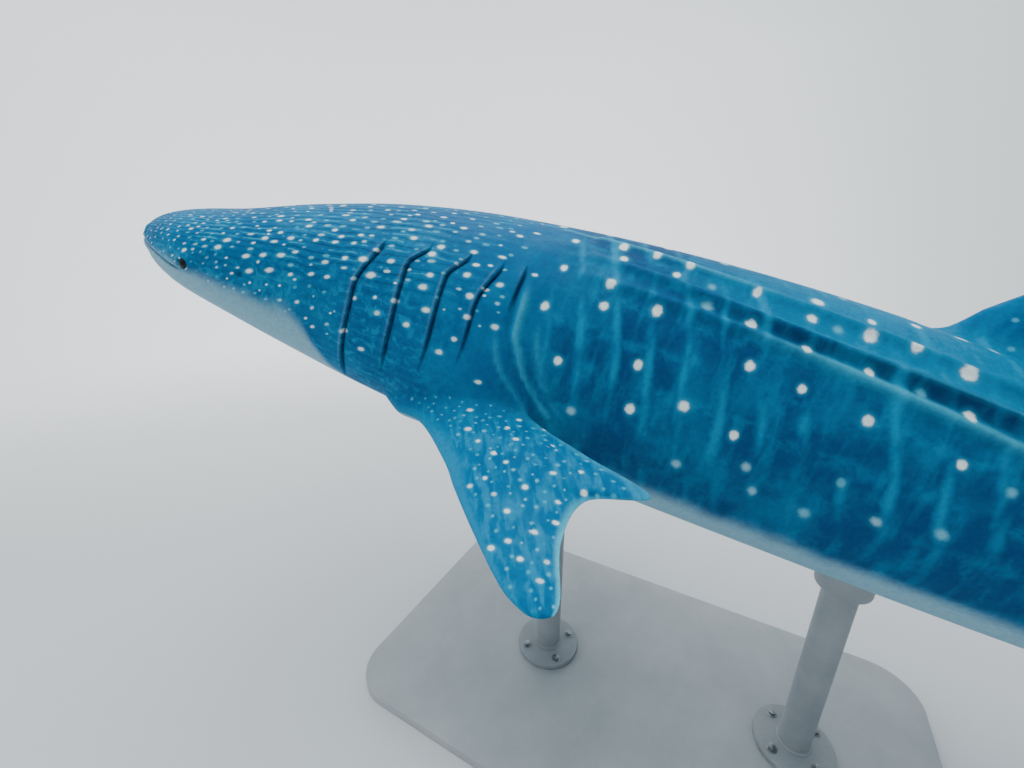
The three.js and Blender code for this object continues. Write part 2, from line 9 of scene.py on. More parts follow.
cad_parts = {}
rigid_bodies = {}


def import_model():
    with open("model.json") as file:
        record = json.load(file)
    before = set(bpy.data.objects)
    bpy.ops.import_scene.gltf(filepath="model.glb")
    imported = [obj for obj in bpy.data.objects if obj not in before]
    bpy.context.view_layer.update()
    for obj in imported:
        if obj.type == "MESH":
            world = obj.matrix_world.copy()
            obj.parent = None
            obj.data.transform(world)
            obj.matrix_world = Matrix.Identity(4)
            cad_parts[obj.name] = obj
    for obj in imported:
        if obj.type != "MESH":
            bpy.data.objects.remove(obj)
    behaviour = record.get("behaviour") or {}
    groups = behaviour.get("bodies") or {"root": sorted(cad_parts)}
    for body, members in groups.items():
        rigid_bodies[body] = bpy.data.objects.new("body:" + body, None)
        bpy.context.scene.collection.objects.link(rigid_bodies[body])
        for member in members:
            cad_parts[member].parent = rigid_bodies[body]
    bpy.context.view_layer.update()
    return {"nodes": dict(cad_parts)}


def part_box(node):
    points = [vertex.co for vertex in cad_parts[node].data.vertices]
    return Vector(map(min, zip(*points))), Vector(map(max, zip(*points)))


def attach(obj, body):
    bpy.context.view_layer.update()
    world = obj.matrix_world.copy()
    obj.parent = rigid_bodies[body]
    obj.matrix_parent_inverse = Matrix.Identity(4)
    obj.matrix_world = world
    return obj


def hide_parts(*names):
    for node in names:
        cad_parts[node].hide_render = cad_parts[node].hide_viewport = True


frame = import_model()
print("frame loaded with", len(frame["nodes"]), "nodes")

# The animal's own sizes, as in the solids: per cent of its length along the backbone and degrees round
# the girth, 0 on the midline of the back, 90 on the left flank and 180 on the belly
shark = {
    "percent": 0.07,  # metres
    "headings": [(0, 38), (20, 17), (42, 0), (60, -6), (72, -4), (82, 4), (100, 16)],  # along, degrees
    "stillPoint": 40,  # the place along that the pose turns about
    "stillPointAt": (0.325, 0.125, 1.63),
    "noseUp": 12.56,  # degrees
    "bank": 10.6,
    "girths": [  # along, half width, top, bottom
        (0, 4.7, 1.7, -2.1), (5, 6.8, 2.85, -3.4), (10, 7.3, 4.55, -4.9), (16, 7.7, 6.15, -6.2),
        (23, 7.8, 7.2, -7.05), (34, 7.4, 7.8, -7.2), (45, 6.5, 7.4, -6.5), (55, 5.3, 6.0, -5.3),
        (67, 3.8, 4.0, -3.4), (78, 2.3, 2.4, -1.9), (83, 1.5, 2.1, -1.2), (87, 0.5, 1.5, 0.1),
    ],
    "sectionPower": 2.3,  # 2 makes a girth an ellipse, more makes it squarer
    "noseLength": 5,
    "nosePower": 2.8,
    "gillsFrom": 13.4,
    "trunkFrom": 28.2,
    "tailTo": 87,
}


def smoothCurve(points):
    # passes through the points, flat beyond its ends
    at = np.array([p[0] for p in points], float)
    height = np.array([p[1] for p in points], float)
    before = np.maximum(np.arange(len(at)) - 1, 0)
    after = np.minimum(np.arange(len(at)) + 1, len(at) - 1)
    slope = (height[after] - height[before]) / (at[after] - at[before])

    def read(place):
        place = np.clip(np.asarray(place, float), at[0], at[-1])
        i = np.clip(np.searchsorted(at, place, side="right") - 1, 0, len(at) - 2)
        width = at[i + 1] - at[i]
        t = (place - at[i]) / width
        rise = height[i] * (1 + 2 * t) * (1 - t) ** 2 + height[i + 1] * t * t * (3 - 2 * t)
        return rise + width * t * (1 - t) * (slope[i] * (1 - t) - slope[i + 1] * t)

    return read


def ramp(low, high, value):
    t = np.clip((np.asarray(value, float) - low) / (high - low), 0, 1)
    return t * t * (3 - 2 * t)


def bell(distance):
    return np.exp(-np.square(distance))


halfWidthAt = smoothCurve([(g[0], g[1]) for g in shark["girths"]])
topAt = smoothCurve([(g[0], g[2]) for g in shark["girths"]])
bottomAt = smoothCurve([(g[0], g[3]) for g in shark["girths"]])
headingAt = smoothCurve(shark["headings"])

# the backbone's course seen from above, in steps of a quarter of a per cent
stepsPerPercent = 4
backboneAt = np.arange(100 * stepsPerPercent + 1) / stepsPerPercent
stepHeading = np.radians(headingAt(backboneAt[:-1] + 0.5 / stepsPerPercent))
backboneX = np.concatenate([[0], np.cumsum(np.cos(stepHeading))]) / stepsPerPercent
backboneY = np.concatenate([[0], np.cumsum(np.sin(stepHeading))]) / stepsPerPercent
backboneX -= np.interp(shark["stillPoint"], backboneAt, backboneX)
backboneY -= np.interp(shark["stillPoint"], backboneAt, backboneY)

posed = (
    Matrix.Translation(shark["stillPointAt"])
    @ Matrix.Rotation(math.radians(shark["noseUp"]), 4, "Y")
    @ Matrix.Rotation(math.radians(-shark["bank"]), 4, "X")
)


def beside(along, left, up):
    # a point beside the backbone, in metres, before the pose
    along, left, up = np.broadcast_arrays(*(np.asarray(v, float) for v in (along, left, up)))
    heading = np.radians(headingAt(along))
    beyond = np.minimum(along, 0) + np.maximum(along - 100, 0)
    x = np.interp(along, backboneAt, backboneX) + left * np.sin(heading) + beyond * np.cos(heading)
    y = np.interp(along, backboneAt, backboneY) - left * np.cos(heading) + beyond * np.sin(heading)
    return np.stack([x, y, up], -1) * shark["percent"]


def noseShare(along):
    # how much of its full girth the blunt snout has reached
    ahead = 1 - np.clip(along / shark["noseLength"], 0, 1)
    return (1 - ahead ** shark["nosePower"]) ** (1 / shark["nosePower"])


def barePoint(along, angle):
    # a point of the smooth body, before its reliefs
    nose = noseShare(along)
    turn = np.radians(angle)
    across, upward = np.sin(turn), np.cos(turn)
    power = 2 / shark["sectionPower"]
    height = np.where(upward > 0, topAt(along), -bottomAt(along))
    left = np.sign(across) * np.abs(across) ** power * halfWidthAt(along) * nose
    return beside(along, left, np.sign(upward) * np.abs(upward) ** power * height * nose)


def outwards(along, angle):
    # the skin's outward direction, square to the backbone once past the snout
    along = np.maximum(along, 0.004)
    nudge = np.minimum(0.05, along / 2)
    tailwards = barePoint(along + nudge, angle) - barePoint(along - nudge, angle)
    around = barePoint(along, angle + 1) - barePoint(along, angle - 1)
    outward = np.cross(around, tailwards)
    outward /= np.linalg.norm(outward, axis=-1, keepdims=True)
    heading = np.radians(headingAt(along))
    tailward = np.stack([np.cos(heading), np.sin(heading), 0 * heading], -1)
    square = ramp(shark["noseLength"], shark["noseLength"] + 3, along)
    outward -= (square * np.sum(outward * tailward, -1))[..., None] * tailward
    return outward / np.linalg.norm(outward, axis=-1, keepdims=True), tailward


mouth = {
    "angle": 92,
    "drop": 2.6,  # degrees lower for each per cent back
    "corner": 3.9,
    "fade": 1.1,
    "depth": 0.034,  # metres, as the next ones
    "openWidth": 0.008,
    "upperLip": (0.005, 0.022, 0.016),  # proud, away from the line, spread
    "lowerLip": (0.006, 0.028, 0.020),
}


def mouthAngle(along):
    return mouth["angle"] + mouth["drop"] * np.minimum(along, mouth["corner"])


def belowMouth(along, side):
    # metres from the line of the mouth down the skin
    turn = np.radians(side)
    reach = np.hypot(halfWidthAt(along) * np.sin(turn), topAt(along) * np.cos(turn))
    return np.radians(side - mouthAngle(along)) * reach * noseShare(along) * shark["percent"]


def mouthRelief(along, side):
    off = belowMouth(along, side)
    relief = -mouth["depth"] * bell(off / mouth["openWidth"])
    for sign, (proud, away, spread) in ((-1, mouth["upperLip"]), (1, mouth["lowerLip"])):
        relief = relief + proud * bell((off - sign * away) / spread)
    return relief * (1 - ramp(mouth["corner"], mouth["corner"] + mouth["fade"], along))


gills = {
    # along at mid height, girth angles of its ends, how far its upper end turns to the tail, and from where
    "slits": [
        (15.6, 59, 138, 1.05, 84), (18.45, 57, 116, 1.0, 67), (20.95, 57, 106, 1.0, 68),
        (23.15, 58, 98, 0.85, 76), (25.2, 57, 76, 0.1, 70),
    ],
    "hookTop": 55,  # the girth angle where that turn is full
    "lean": 0.6,  # how far the lower ends lean towards the head
    # mm behind the slit: how far the skin is drawn back over it and how proud it stands, in mm
    "flap": [
        (-110, 0, 0), (-70, 0, 2.5), (-35, 0.5, 5), (-14, 1.5, 6.5), (-5, 2.5, 6), (0, 3, 3.5), (3, 2, -4),
        (6, 0, -12), (9, 0, -15), (13, 0.5, -11), (20, 1, -5), (34, 0.5, -1.5), (60, 0, 0),
    ],
}
slitPlaces, slitTops, slitFeet, slitHooks, hookFeet = zip(*gills["slits"])
hookAt = smoothCurve(list(zip(slitPlaces, slitHooks)))
hookFootAt = smoothCurve(list(zip(slitPlaces, hookFeet)))


def gillShift(along, angle):
    gillsFrom, trunkFrom = shark["gillsFrom"], shark["trunkFrom"]
    weight = ramp(gillsFrom, gillsFrom + 1.2, along) * (1 - ramp(trunkFrom - 2, trunkFrom, along))
    foot = hookFootAt(along)
    hook = hookAt(along) * ramp(0, 1, (foot - np.abs(angle)) / (foot - gills["hookTop"]))
    return (gills["lean"] * np.minimum(np.cos(np.radians(angle)), 0) + hook) * weight


def gillRelief(along, side):
    behindAt, drawnAt, proudAt = (np.array(column, float) for column in zip(*gills["flap"]))
    drawn, proud = 0 * along, 0 * along
    for at, top, foot in zip(slitPlaces, slitTops, slitFeet):
        isOpen = ramp(top - 4, top + 4, side) * (1 - ramp(foot - 14, foot + 4, side))
        behind = (along - at) * shark["percent"] * 1000
        drawn = drawn + isOpen * np.interp(behind, behindAt, drawnAt, 0, 0) / 1000
        proud = proud + isOpen * np.interp(behind, behindAt, proudAt, 0, 0) / 1000
    return drawn, proud


ridges = {
    "courses": [  # girth angle along the body, and how proud in mm
        ([(20, 9), (33, 30), (45, 39), (62, 46)], [(26, 0), (33, 20), (52, 16), (66, 0)]),
        ([(26, 38), (40, 50), (48, 52.5), (66, 60)], [(27, 0), (33, 22), (58, 18), (72, 0)]),
        ([(26, 50), (41, 58.5), (48.5, 63.5), (66, 79), (76, 90), (87, 90)],
         [(27, 0), (34, 22), (62, 26), (73, 44), (80, 44), (86, 6)]),
    ],
    "spread": 2.3,  # degrees
}
ridgeCurves = [(smoothCurve(angles), smoothCurve(heights)) for angles, heights in ridges["courses"]]


def ridgeRelief(along, side):
    heights = [
        height(along) / 1000 * bell((side - angle(along)) / ridges["spread"])
        for angle, height in ridgeCurves
    ]
    return np.max(heights, axis=0)


folds = {  # soft folds of skin between the last slit and the root of the pectoral fin
    "courses": [  # girth angle and place along, the angles of its ends, and how proud in metres
        ([(64, 25.9), (72, 26.0), (84, 26.15), (88, 26.6), (94, 27.3), (101, 28.5), (109, 29.6)],
         66, 110, 0.013),
        ([(84, 24.9), (92, 25.5), (100, 26.7), (108, 28.2)], 86, 106, 0.009),
        ([(76, 27.2), (86, 27.6), (94, 28.4), (104, 30.0)], 78, 104, 0.006),
    ],
    "spread": 0.019,
    "furrow": (0.6, 0.034, 0.020),  # its share of the fold's height, how far in front, and its spread
}


def foldRelief(along, side):
    relief = 0 * along
    depth, ahead, spread = folds["furrow"]
    for course, top, foot, proud in folds["courses"]:
        off = (along - smoothCurve(course)(side)) * shark["percent"]
        shown = ramp(top - 6, top + 8, side) * (1 - ramp(foot - 8, foot + 6, side))
        relief = relief + proud * shown * (bell(off / folds["spread"]) - depth * bell((off + ahead) / spread))
    return relief


# what stands round the eyes, nostrils and spiracles: its place, the reach in metres over which the sheet is
# cut finer, and its height in mm against mm from its middle
headDetails = {
    "eye": {
        "at": 4.9, "angle": 95.5, "reach": 0.075,
        "height": [(0, -16), (12, -15), (15.5, -4), (18.5, 7), (22, 12), (27, 12.5), (34, 8), (44, 3.5),
                   (56, 0.6), (72, 0)],
    },
    "spiracle": {
        "at": 8.4, "angle": 91, "reach": 0.0525,
        "height": [(0, -14), (7, -12), (11, -5), (15, 0), (20, 2), (30, 0.5), (42, 0)],
    },
    "nostril": {
        "at": 0.9, "angle": 77, "reach": 0.0525,
        "height": [(0, -8), (4, -7), (8, 2), (14, 6), (22, 4), (32, 1), (44, 0)],
    },
}


def detailRelief(along, side):
    points = barePoint(along, side)
    relief = 0 * along
    for detail in headDetails.values():
        middle = barePoint(np.array(detail["at"]), np.array(detail["angle"]))
        away = np.linalg.norm(points - middle, axis=-1) * 1000
        distance, height = zip(*detail["height"])
        relief = relief + np.interp(away, distance, height) / 1000
    return relief


def skinPoint(along, angle):
    # a point of the skin with its slits, mouth, ridges and folds, and how proud it stands
    side = np.abs(angle)
    inHead = along < shark["gillsFrom"]
    inGills = ~inHead & (along < shark["trunkFrom"])
    shift = np.where(inGills, gillShift(along, angle), 0)
    drawn, proud = gillRelief(along, side)
    proud = np.where(inHead, mouthRelief(along, side) + detailRelief(along, side), proud)
    proud = np.where(along >= shark["trunkFrom"], ridgeRelief(along, side), proud)
    drawn = np.where(inGills, drawn, 0)
    proud = proud + foldRelief(along + shift, side)
    outward, tailward = outwards(along + shift, angle)
    skin = barePoint(along + shift, angle) + outward * proud[..., None] + tailward * drawn[..., None]
    return skin, proud


def deselectAll():
    if bpy.context.mode != "OBJECT":
        bpy.ops.object.mode_set(mode="OBJECT")
    bpy.ops.object.select_all(action="DESELECT")


def activate(thing):
    deselectAll()
    thing.select_set(True)
    bpy.context.view_layer.objects.active = thing


def coordinates(mesh):
    co = np.empty(len(mesh.vertices) * 3, np.float32)
    mesh.vertices.foreach_get("co", co)
    return co.reshape(-1, 3).astype(float)


def rolledSheet(name, columns, rows, placeAt, patches=()):
    # a flat grid, cut finer round some places, then rolled into a closed form and sewn up
    deselectAll()
    bpy.ops.mesh.primitive_grid_add(x_subdivisions=columns, y_subdivisions=rows, size=2)
    sheet = bpy.context.object
    sheet.name = name
    for middleU, middleV, reachU, reachV in patches:
        co = coordinates(sheet.data) / 2 + 0.5
        near = (np.abs(co[:, 0] - middleU) < reachU) & (np.abs(co[:, 1] - middleV) < reachV)
        faceMiddles = np.array([face.center for face in sheet.data.polygons]) / 2 + 0.5
        inside = np.abs(faceMiddles[:, 0] - middleU) < reachU
        inside = inside & (np.abs(faceMiddles[:, 1] - middleV) < reachV)
        if not near.any():
            continue
        sheet.data.polygons.foreach_set("select", inside)
        sheet.data.vertices.foreach_set("select", np.zeros(len(co), bool))
        sheet.data.edges.foreach_set("select", np.zeros(len(sheet.data.edges), bool))
        bpy.ops.object.mode_set(mode="EDIT")
        bpy.ops.mesh.select_mode(type="FACE")
        bpy.ops.mesh.subdivide(number_cuts=3)
        bpy.ops.object.mode_set(mode="OBJECT")
    flat = coordinates(sheet.data) / 2 + 0.5
    sheet.data.vertices.foreach_set("co", placeAt(flat[:, 0], flat[:, 1]).astype(np.float32).ravel())
    bpy.ops.object.mode_set(mode="EDIT")
    bpy.ops.mesh.select_all(action="SELECT")
    bpy.ops.mesh.remove_doubles(threshold=0.00004)
    bpy.ops.mesh.select_all(action="DESELECT")
    bpy.ops.mesh.select_mode(type="EDGE")
    bpy.ops.mesh.select_non_manifold(extend=False, use_wire=False, use_multi_face=False, use_verts=False)
    bpy.ops.mesh.edge_face_add()
    bpy.ops.mesh.select_all(action="SELECT")
    bpy.ops.mesh.normals_make_consistent(inside=False)
    bpy.ops.object.mode_set(mode="OBJECT")
    return sheet


bodySheet = {
    "columns": 160,
    "noseRings": 30,
    "headSteps": [(2, 0.13), (7, 0.16), (13, 0.2)],  # from ring to ring, in per cent, at places along
    "trunkSteps": [(26, 0.2), (32, 0.38), (70, 0.38), (87, 0.26)],
    "gillStep": 0.17,
    "gillsTo": 26.3,
    "slitSteps": [-0.5, -0.34, -0.2, -0.12, -0.07, -0.03, 0, 0.03, 0.06, 0.1, 0.16, 0.22, 0.29, 0.4, 0.55],
    # how much closer together the columns are, and over how many degrees
    "atMouth": (5.0, 7),
    "atHooks": (1.8, 7),
    "atRidges": (1.6, 5),
    "hookAngle": 58,
}


def bodyPlaces():
    # the rings' places along, close together at the snout and the slits
    power = shark["nosePower"]
    share = np.linspace(0, 0.975, bodySheet["noseRings"])
    nose = shark["noseLength"] * (1 - (1 - share ** power) ** (1 / power))
    places = list(nose)
    while places[-1] < shark["gillsFrom"] - 0.2:
        places.append(places[-1] + np.interp(places[-1], *zip(*bodySheet["headSteps"])))
    finePlaces = sorted(at + step for at in slitPlaces for step in bodySheet["slitSteps"])
    for fine in finePlaces + [bodySheet["gillsTo"]]:
        start = places[-1]
        if fine - start > 0.02:
            count = math.ceil((fine - start) / bodySheet["gillStep"])
            places.extend(start + (fine - start) * (i + 1) / count for i in range(count))
    while places[-1] < shark["tailTo"] - 0.3:
        places.append(places[-1] + np.interp(places[-1], *zip(*bodySheet["trunkSteps"])))
    return np.array(places + [shark["tailTo"]])


places = bodyPlaces()
ringNumbers = np.arange(len(places))
quarterDegrees = np.linspace(0, 180, 721)
flankShares = np.linspace(0, 1, 241)  # of the way over one flank, from the back to the belly


def columnTable():
    # girth angles of the columns of one flank at each ring, closer together at the mouth and the ridges
    table = []
    mouthMore, mouthSpread = bodySheet["atMouth"]
    hookMore, hookSpread = bodySheet["atHooks"]
    ridgeMore, ridgeSpread = bodySheet["atRidges"]
    for along in places:
        density = 1 + 0 * quarterDegrees
        inMouth = (1 - ramp(4, 8, along)) * mouthMore
        density = density + inMouth * bell((quarterDegrees - mouthAngle(along)) / mouthSpread)
        inGills = ramp(12, 15, along) * (1 - ramp(26, 29, along)) * hookMore
        density = density + inGills * bell((quarterDegrees - bodySheet["hookAngle"]) / hookSpread)
        for angle, height in ridgeCurves:
            onRidge = ramp(0, 14, height(along)) * ridgeMore
            density = density + onRidge * bell((quarterDegrees - angle(along)) / ridgeSpread)
        reached = np.concatenate([[0], np.cumsum((density[1:] + density[:-1]) / 2)])
        table.append(np.interp(flankShares, reached / reached[-1], quarterDegrees))
    return np.array(table)


columnAngles = columnTable()


def readTable(table, row, column):
    # the value between the four nearest entries
    low = np.clip(row.astype(int), 0, table.shape[0] - 2)
    left = np.clip(column.astype(int), 0, table.shape[1] - 2)
    t, s = np.clip(row - low, 0, 1), np.clip(column - left, 0, 1)
    before = table[low, left] * (1 - s) + table[low, left + 1] * s
    after = table[low + 1, left] * (1 - s) + table[low + 1, left + 1] * s
    return before * (1 - t) + after * t


def bodyPlace(u, v):
    # the skin's point for a place on the flat sheet, whose middle column is the midline of the back
    ring = v * (len(places) - 1)
    side = readTable(columnAngles, ring, np.abs(2 * u - 1) * (len(flankShares) - 1))
    along, angle = np.interp(ring, ringNumbers, places), np.where(u < 0.5, -side, side)
    skin = skinPoint(along, angle)[0]
    nose = v < 1e-6
    if nose.any():
        skin[nose] = skinPoint(np.array([0.0]), np.array([float(mouth["angle"])]))[0]
    return skin


def detailPatches():
    # where on the flat sheet the details of the head are, and how far they reach there
    patches = []
    for detail in headDetails.values():
        at, angle, reach = detail["at"], detail["angle"], detail["reach"]
        middle = barePoint(np.array(at), np.array(angle))
        ring = np.interp(at, places, ringNumbers)
        low = int(ring)
        column = np.interp(angle, columnAngles[low], flankShares)
        perRing = np.linalg.norm(barePoint(np.array(places[low + 2]), np.array(angle)) - middle)
        perRing /= low + 2 - ring
        nextAngle = np.interp(column + 0.01, flankShares, columnAngles[low])
        perU = np.linalg.norm(barePoint(np.array(at), nextAngle) - middle) / 0.005
        for side in (1, -1):
            patches.append((0.5 + side * column / 2, ring / (len(places) - 1), reach / perU,
                            reach / perRing / (len(places) - 1)))
    return patches


skin = rolledSheet("sharkSkin", bodySheet["columns"], len(places) - 1, bodyPlace, detailPatches())
print("body rolled:", len(skin.data.vertices), "points in", len(places), "rings")

# the fins' edges from root to tip, as chord and span in per cent: on the body's midline a chord is a place
# along and a span a height, and on a paired fin both start at its front root
fins = {
    "firstDorsal": {
        "front": [(44.6, 5.2), (46.2, 7.9), (48.6, 10.4), (50.9, 12.6), (52.6, 14.0), (53.7, 14.7)],
        "rear": [(52.6, 3.6), (54.2, 6.2), (57.2, 7.3), (55.6, 9.6), (54.9, 12.4), (54.8, 14.3)],
        "thickness": (0.120, 0.016), "rows": 50, "columns": 56,
    },
    "secondDorsal": {
        "front": [(65.0, 2.6), (66.6, 4.4), (68.3, 5.9), (69.9, 7.2), (70.7, 7.5)],
        "rear": [(69.4, 2.0), (70.2, 3.5), (73.0, 4.0), (71.3, 5.4), (71.2, 7.3)],
        "thickness": (0.060, 0.010), "rows": 28, "columns": 36,
    },
    "anal": {
        "front": [(67.0, -2.0), (68.6, -3.4), (70.2, -4.9), (71.7, -6.2), (72.5, -6.5)],
        "rear": [(71.4, -1.4), (72.0, -2.6), (74.8, -3.2), (73.0, -4.6), (73.0, -6.3)],
        "thickness": (0.056, 0.010), "rows": 26, "columns": 36,
    },
    "caudalUpper": {
        "front": [(77.0, 0.6), (79.5, 2.9), (83.0, 6.1), (87.2, 9.9), (91.8, 13.7), (96.2, 16.7),
                  (98.9, 18.0)],
        "rear": [(85.5, -1.2), (87.6, 1.2), (89.6, 4.4), (92.4, 8.4), (95.6, 12.3), (98.4, 15.6),
                 (99.8, 17.4)],
        "thickness": (0.190, 0.014), "rows": 72, "columns": 48,
    },
    "caudalLower": {
        "front": [(77.2, -0.2), (79.6, -2.5), (81.7, -5.0), (83.7, -7.7), (85.6, -10.1), (87.2, -11.7)],
        "rear": [(87.6, 1.2), (87.0, -1.5), (87.0, -4.3), (87.4, -7.3), (88.0, -9.8), (88.5, -11.4)],
        "thickness": (0.160, 0.014), "rows": 48, "columns": 48,
    },
    "pectoral": {
        "frontRoot": (20, 134), "rearRoot": (27.4, 109), "droop": 32,
        "front": [(-3.2, -1.8), (-1.0, 0.5), (1.8, 1.5), (4.7, 3.9), (6.0, 5.3), (8.0, 7.3), (10.1, 9.2),
                  (11.5, 9.9)],
        "rear": [(6.6, -2.4), (7.9, 0.2), (11.4, 2.3), (14.7, 4.1), (12.2, 4.8), (11.7, 6.8), (12.3, 9.0),
                 (12.2, 9.7)],
        "thickness": (0.150, 0.018), "rows": 60, "columns": 64,
    },
    "pelvic": {
        "frontRoot": (53.6, 142), "rearRoot": (57.4, 136), "droop": 38,
        "front": [(-0.6, -1.6), (0.2, 0.2), (1.8, 1.6), (3.4, 3.0), (4.8, 4.0), (5.4, 4.3)],
        "rear": [(3.6, -1.6), (4.2, 0.2), (7.6, 1.5), (6.6, 2.6), (6.0, 3.8), (5.9, 4.2)],
        "thickness": (0.056, 0.010), "rows": 28, "columns": 36,
    },
    "tipRound": 0.05,  # the share of the span over which a tip is rounded off
}


def splineThrough(points):
    # the solids' fin edges: Catmull-Rom through the points, even in its parameter
    control = np.array(points, float)

    def read(share):
        place = np.clip(share, 0, 1) * (len(control) - 1)
        i = np.clip(place.astype(int), 0, len(control) - 2)
        t = (place - i)[..., None]
        a, b = control[np.maximum(i - 1, 0)], control[i]
        c, d = control[i + 1], control[np.minimum(i + 2, len(control) - 1)]
        v0, v1 = (c - a) / 2, (d - b) / 2
        return (2 * b - 2 * c + v0 + v1) * t ** 3 + (-3 * b + 3 * c - 2 * v0 - v1) * t ** 2 + v0 * t + b

    return read


def finSpace(fin, side):
    # where chord, span and thickness point for one fin, before the pose
    if "frontRoot" not in fin:
        return lambda chord, span, across: beside(chord, across / shark["percent"], span)
    root = barePoint(np.array(fin["frontRoot"][0], float), np.array(side * fin["frontRoot"][1], float))
    rear = barePoint(np.array(fin["rearRoot"][0], float), np.array(side * fin["rearRoot"][1], float))
    chordWay = (rear - root) / np.linalg.norm(rear - root)
    down = np.array([0, 0, -1.0])
    down -= down.dot(chordWay) * chordWay
    down /= np.linalg.norm(down)
    level = np.cross(chordWay, down)
    if level[1] * side > 0:
        level = -level
    droop = math.radians(fin["droop"])
    spanWay = level * math.cos(droop) + down * math.sin(droop)
    acrossWay = np.cross(chordWay, spanWay)
    acrossWay *= np.sign(acrossWay[2])

    def place(chord, span, across):
        return (
            root
            + chord[..., None] * chordWay * shark["percent"]
            + span[..., None] * spanWay * shark["percent"]
            + across[..., None] * acrossWay
        )

    return place


def finOutline(fin, out):
    return splineThrough(fin["front"])(out), splineThrough(fin["rear"])(out)


def finPiece(name, fin, side=1):
    space = finSpace(fin, side)
    tip = fins["tipRound"]

    def placeAt(u, v):
        turn = u * 2 * math.pi
        out = 1 - (1 - v) ** 1.25  # rows closer together at the root
        front, rear = finOutline(fin, out)
        shrink = np.sqrt(np.clip(1 - np.clip((out - 1 + tip) / tip, 0, 1) ** 2, 0, 1))
        shrink = np.where(out > 1 - tip, shrink, 1)
        back = (1 - np.cos(turn)) / 2
        backPlace = 0.5 + (back - 0.5) * shrink
        chord = front[:, 0] * (1 - backPlace) + rear[:, 0] * backPlace
        span = front[:, 1] * (1 - backPlace) + rear[:, 1] * backPlace
        root, end = fin["thickness"]
        thickness = root + (end - root) * out ** 0.75
        edge = np.minimum(1, (1 - back) / 0.16)  # the rear edge thins out
        across = np.sin(turn) * (1.2 - 0.75 * back) * thickness * 0.5 * shrink * (0.55 + 0.45 * edge)
        return space(chord, span, across)

    return rolledSheet(name, fin["columns"], fin["rows"], placeAt)


# each fin grows out of the skin with a number of its own, so that its faces are known afterwards
finList = [("firstDorsal", 1), ("secondDorsal", 1), ("anal", 1), ("caudalUpper", 1), ("caudalLower", 1)]
finList += [(kind, side) for kind in ("pectoral", "pelvic") for side in (1, -1)]

for i in range(len(finList) + 1):
    skin.data.materials.append(bpy.data.materials.new(f"growing{i}"))
for number, (kind, side) in enumerate(finList, 1):
    fin = finPiece(f"{kind}{side}", fins[kind], side)
    for i in range(len(finList) + 1):
        fin.data.materials.append(skin.data.materials[i])
    fin.data.polygons.foreach_set("material_index", np.full(len(fin.data.polygons), number, np.int32))
    activate(skin)
    union = skin.modifiers.new("root", "BOOLEAN")
    union.operation, union.solver, union.object = "UNION", "MANIFOLD", fin
    bpy.ops.object.modifier_apply(modifier=union.name)
    bpy.data.objects.remove(fin)
    print("joined", kind, side, len(skin.data.polygons), "faces")

# the roots are smoothed into soft fillets, which the border between a fin's faces and the body's finds
filletRings = 4
activate(skin)
faceOwner = np.zeros(len(skin.data.polygons), np.int32)
skin.data.polygons.foreach_get("material_index", faceOwner)
edgeOwners = {}
for face, owner in zip(skin.data.polygons, faceOwner):
    for key in face.edge_keys:
        edgeOwners.setdefault(key, set()).add(int(owner))
rootPoints = np.zeros(len(skin.data.vertices), bool)
for key, owners in edgeOwners.items():
    if len(owners) > 1:
        rootPoints[list(key)] = True
skin.data.polygons.foreach_set("select", np.zeros(len(skin.data.polygons), bool))
skin.data.edges.foreach_set("select", np.zeros(len(skin.data.edges), bool))
skin.data.vertices.foreach_set("select", rootPoints)
bpy.ops.object.mode_set(mode="EDIT")
bpy.ops.mesh.select_mode(type="VERT")
for ring in range(filletRings):
    bpy.ops.mesh.select_more()
bpy.ops.mesh.vertices_smooth(factor=0.5, repeat=10)
bpy.ops.mesh.select_less()
bpy.ops.mesh.vertices_smooth(factor=0.5, repeat=6)
bpy.ops.object.mode_set(mode="OBJECT")
skin.data.update()
print("fin roots smoothed")



def nearestOnBackbone(flat):
    # the backbone's step nearest to each point, seen from above
    course = np.stack([backboneX, backboneY], -1)
    along = np.empty(len(flat))
    batch = 20000  # points at a time, which spares memory
    for start in range(0, len(flat), batch):
        away = np.square(flat[start:start + batch, None, :] - course[None]).sum(-1)
        along[start:start + batch] = backboneAt[away.argmin(1)]
    return along


def offBackbone(flat, along):
    # how far tailwards and to the left of a place on the backbone each point is
    heading = np.radians(headingAt(along))
    off = flat - beside(along, 0, 0)[:, :2] / shark["percent"]
    tailwards = off[:, 0] * np.cos(heading) + off[:, 1] * np.sin(heading)
    return tailwards, off[:, 0] * np.sin(heading) - off[:, 1] * np.cos(heading)


def bodyCoordinates(points):
    # per cent along and girth angle, the left flank's above 0, for points before the pose
    flat = points[:, :2] / shark["percent"]
    along = nearestOnBackbone(flat)
    for closer in range(3):
        along = along + offBackbone(flat, along)[0]
    left = offBackbone(flat, along)[1]
    up = points[:, 2] / shark["percent"]
    along = np.clip(along, 0.001, 99.9)
    width, height = halfWidthAt(along), np.where(up > 0, topAt(along), -bottomAt(along))
    power = shark["sectionPower"] / 2
    across = (np.abs(left) / width) ** power
    upward = np.sign(up) * (np.abs(up) / np.maximum(height, 0.05)) ** power
    return along, np.degrees(np.arctan2(across, upward)) * np.where(left < 0, -1, 1)


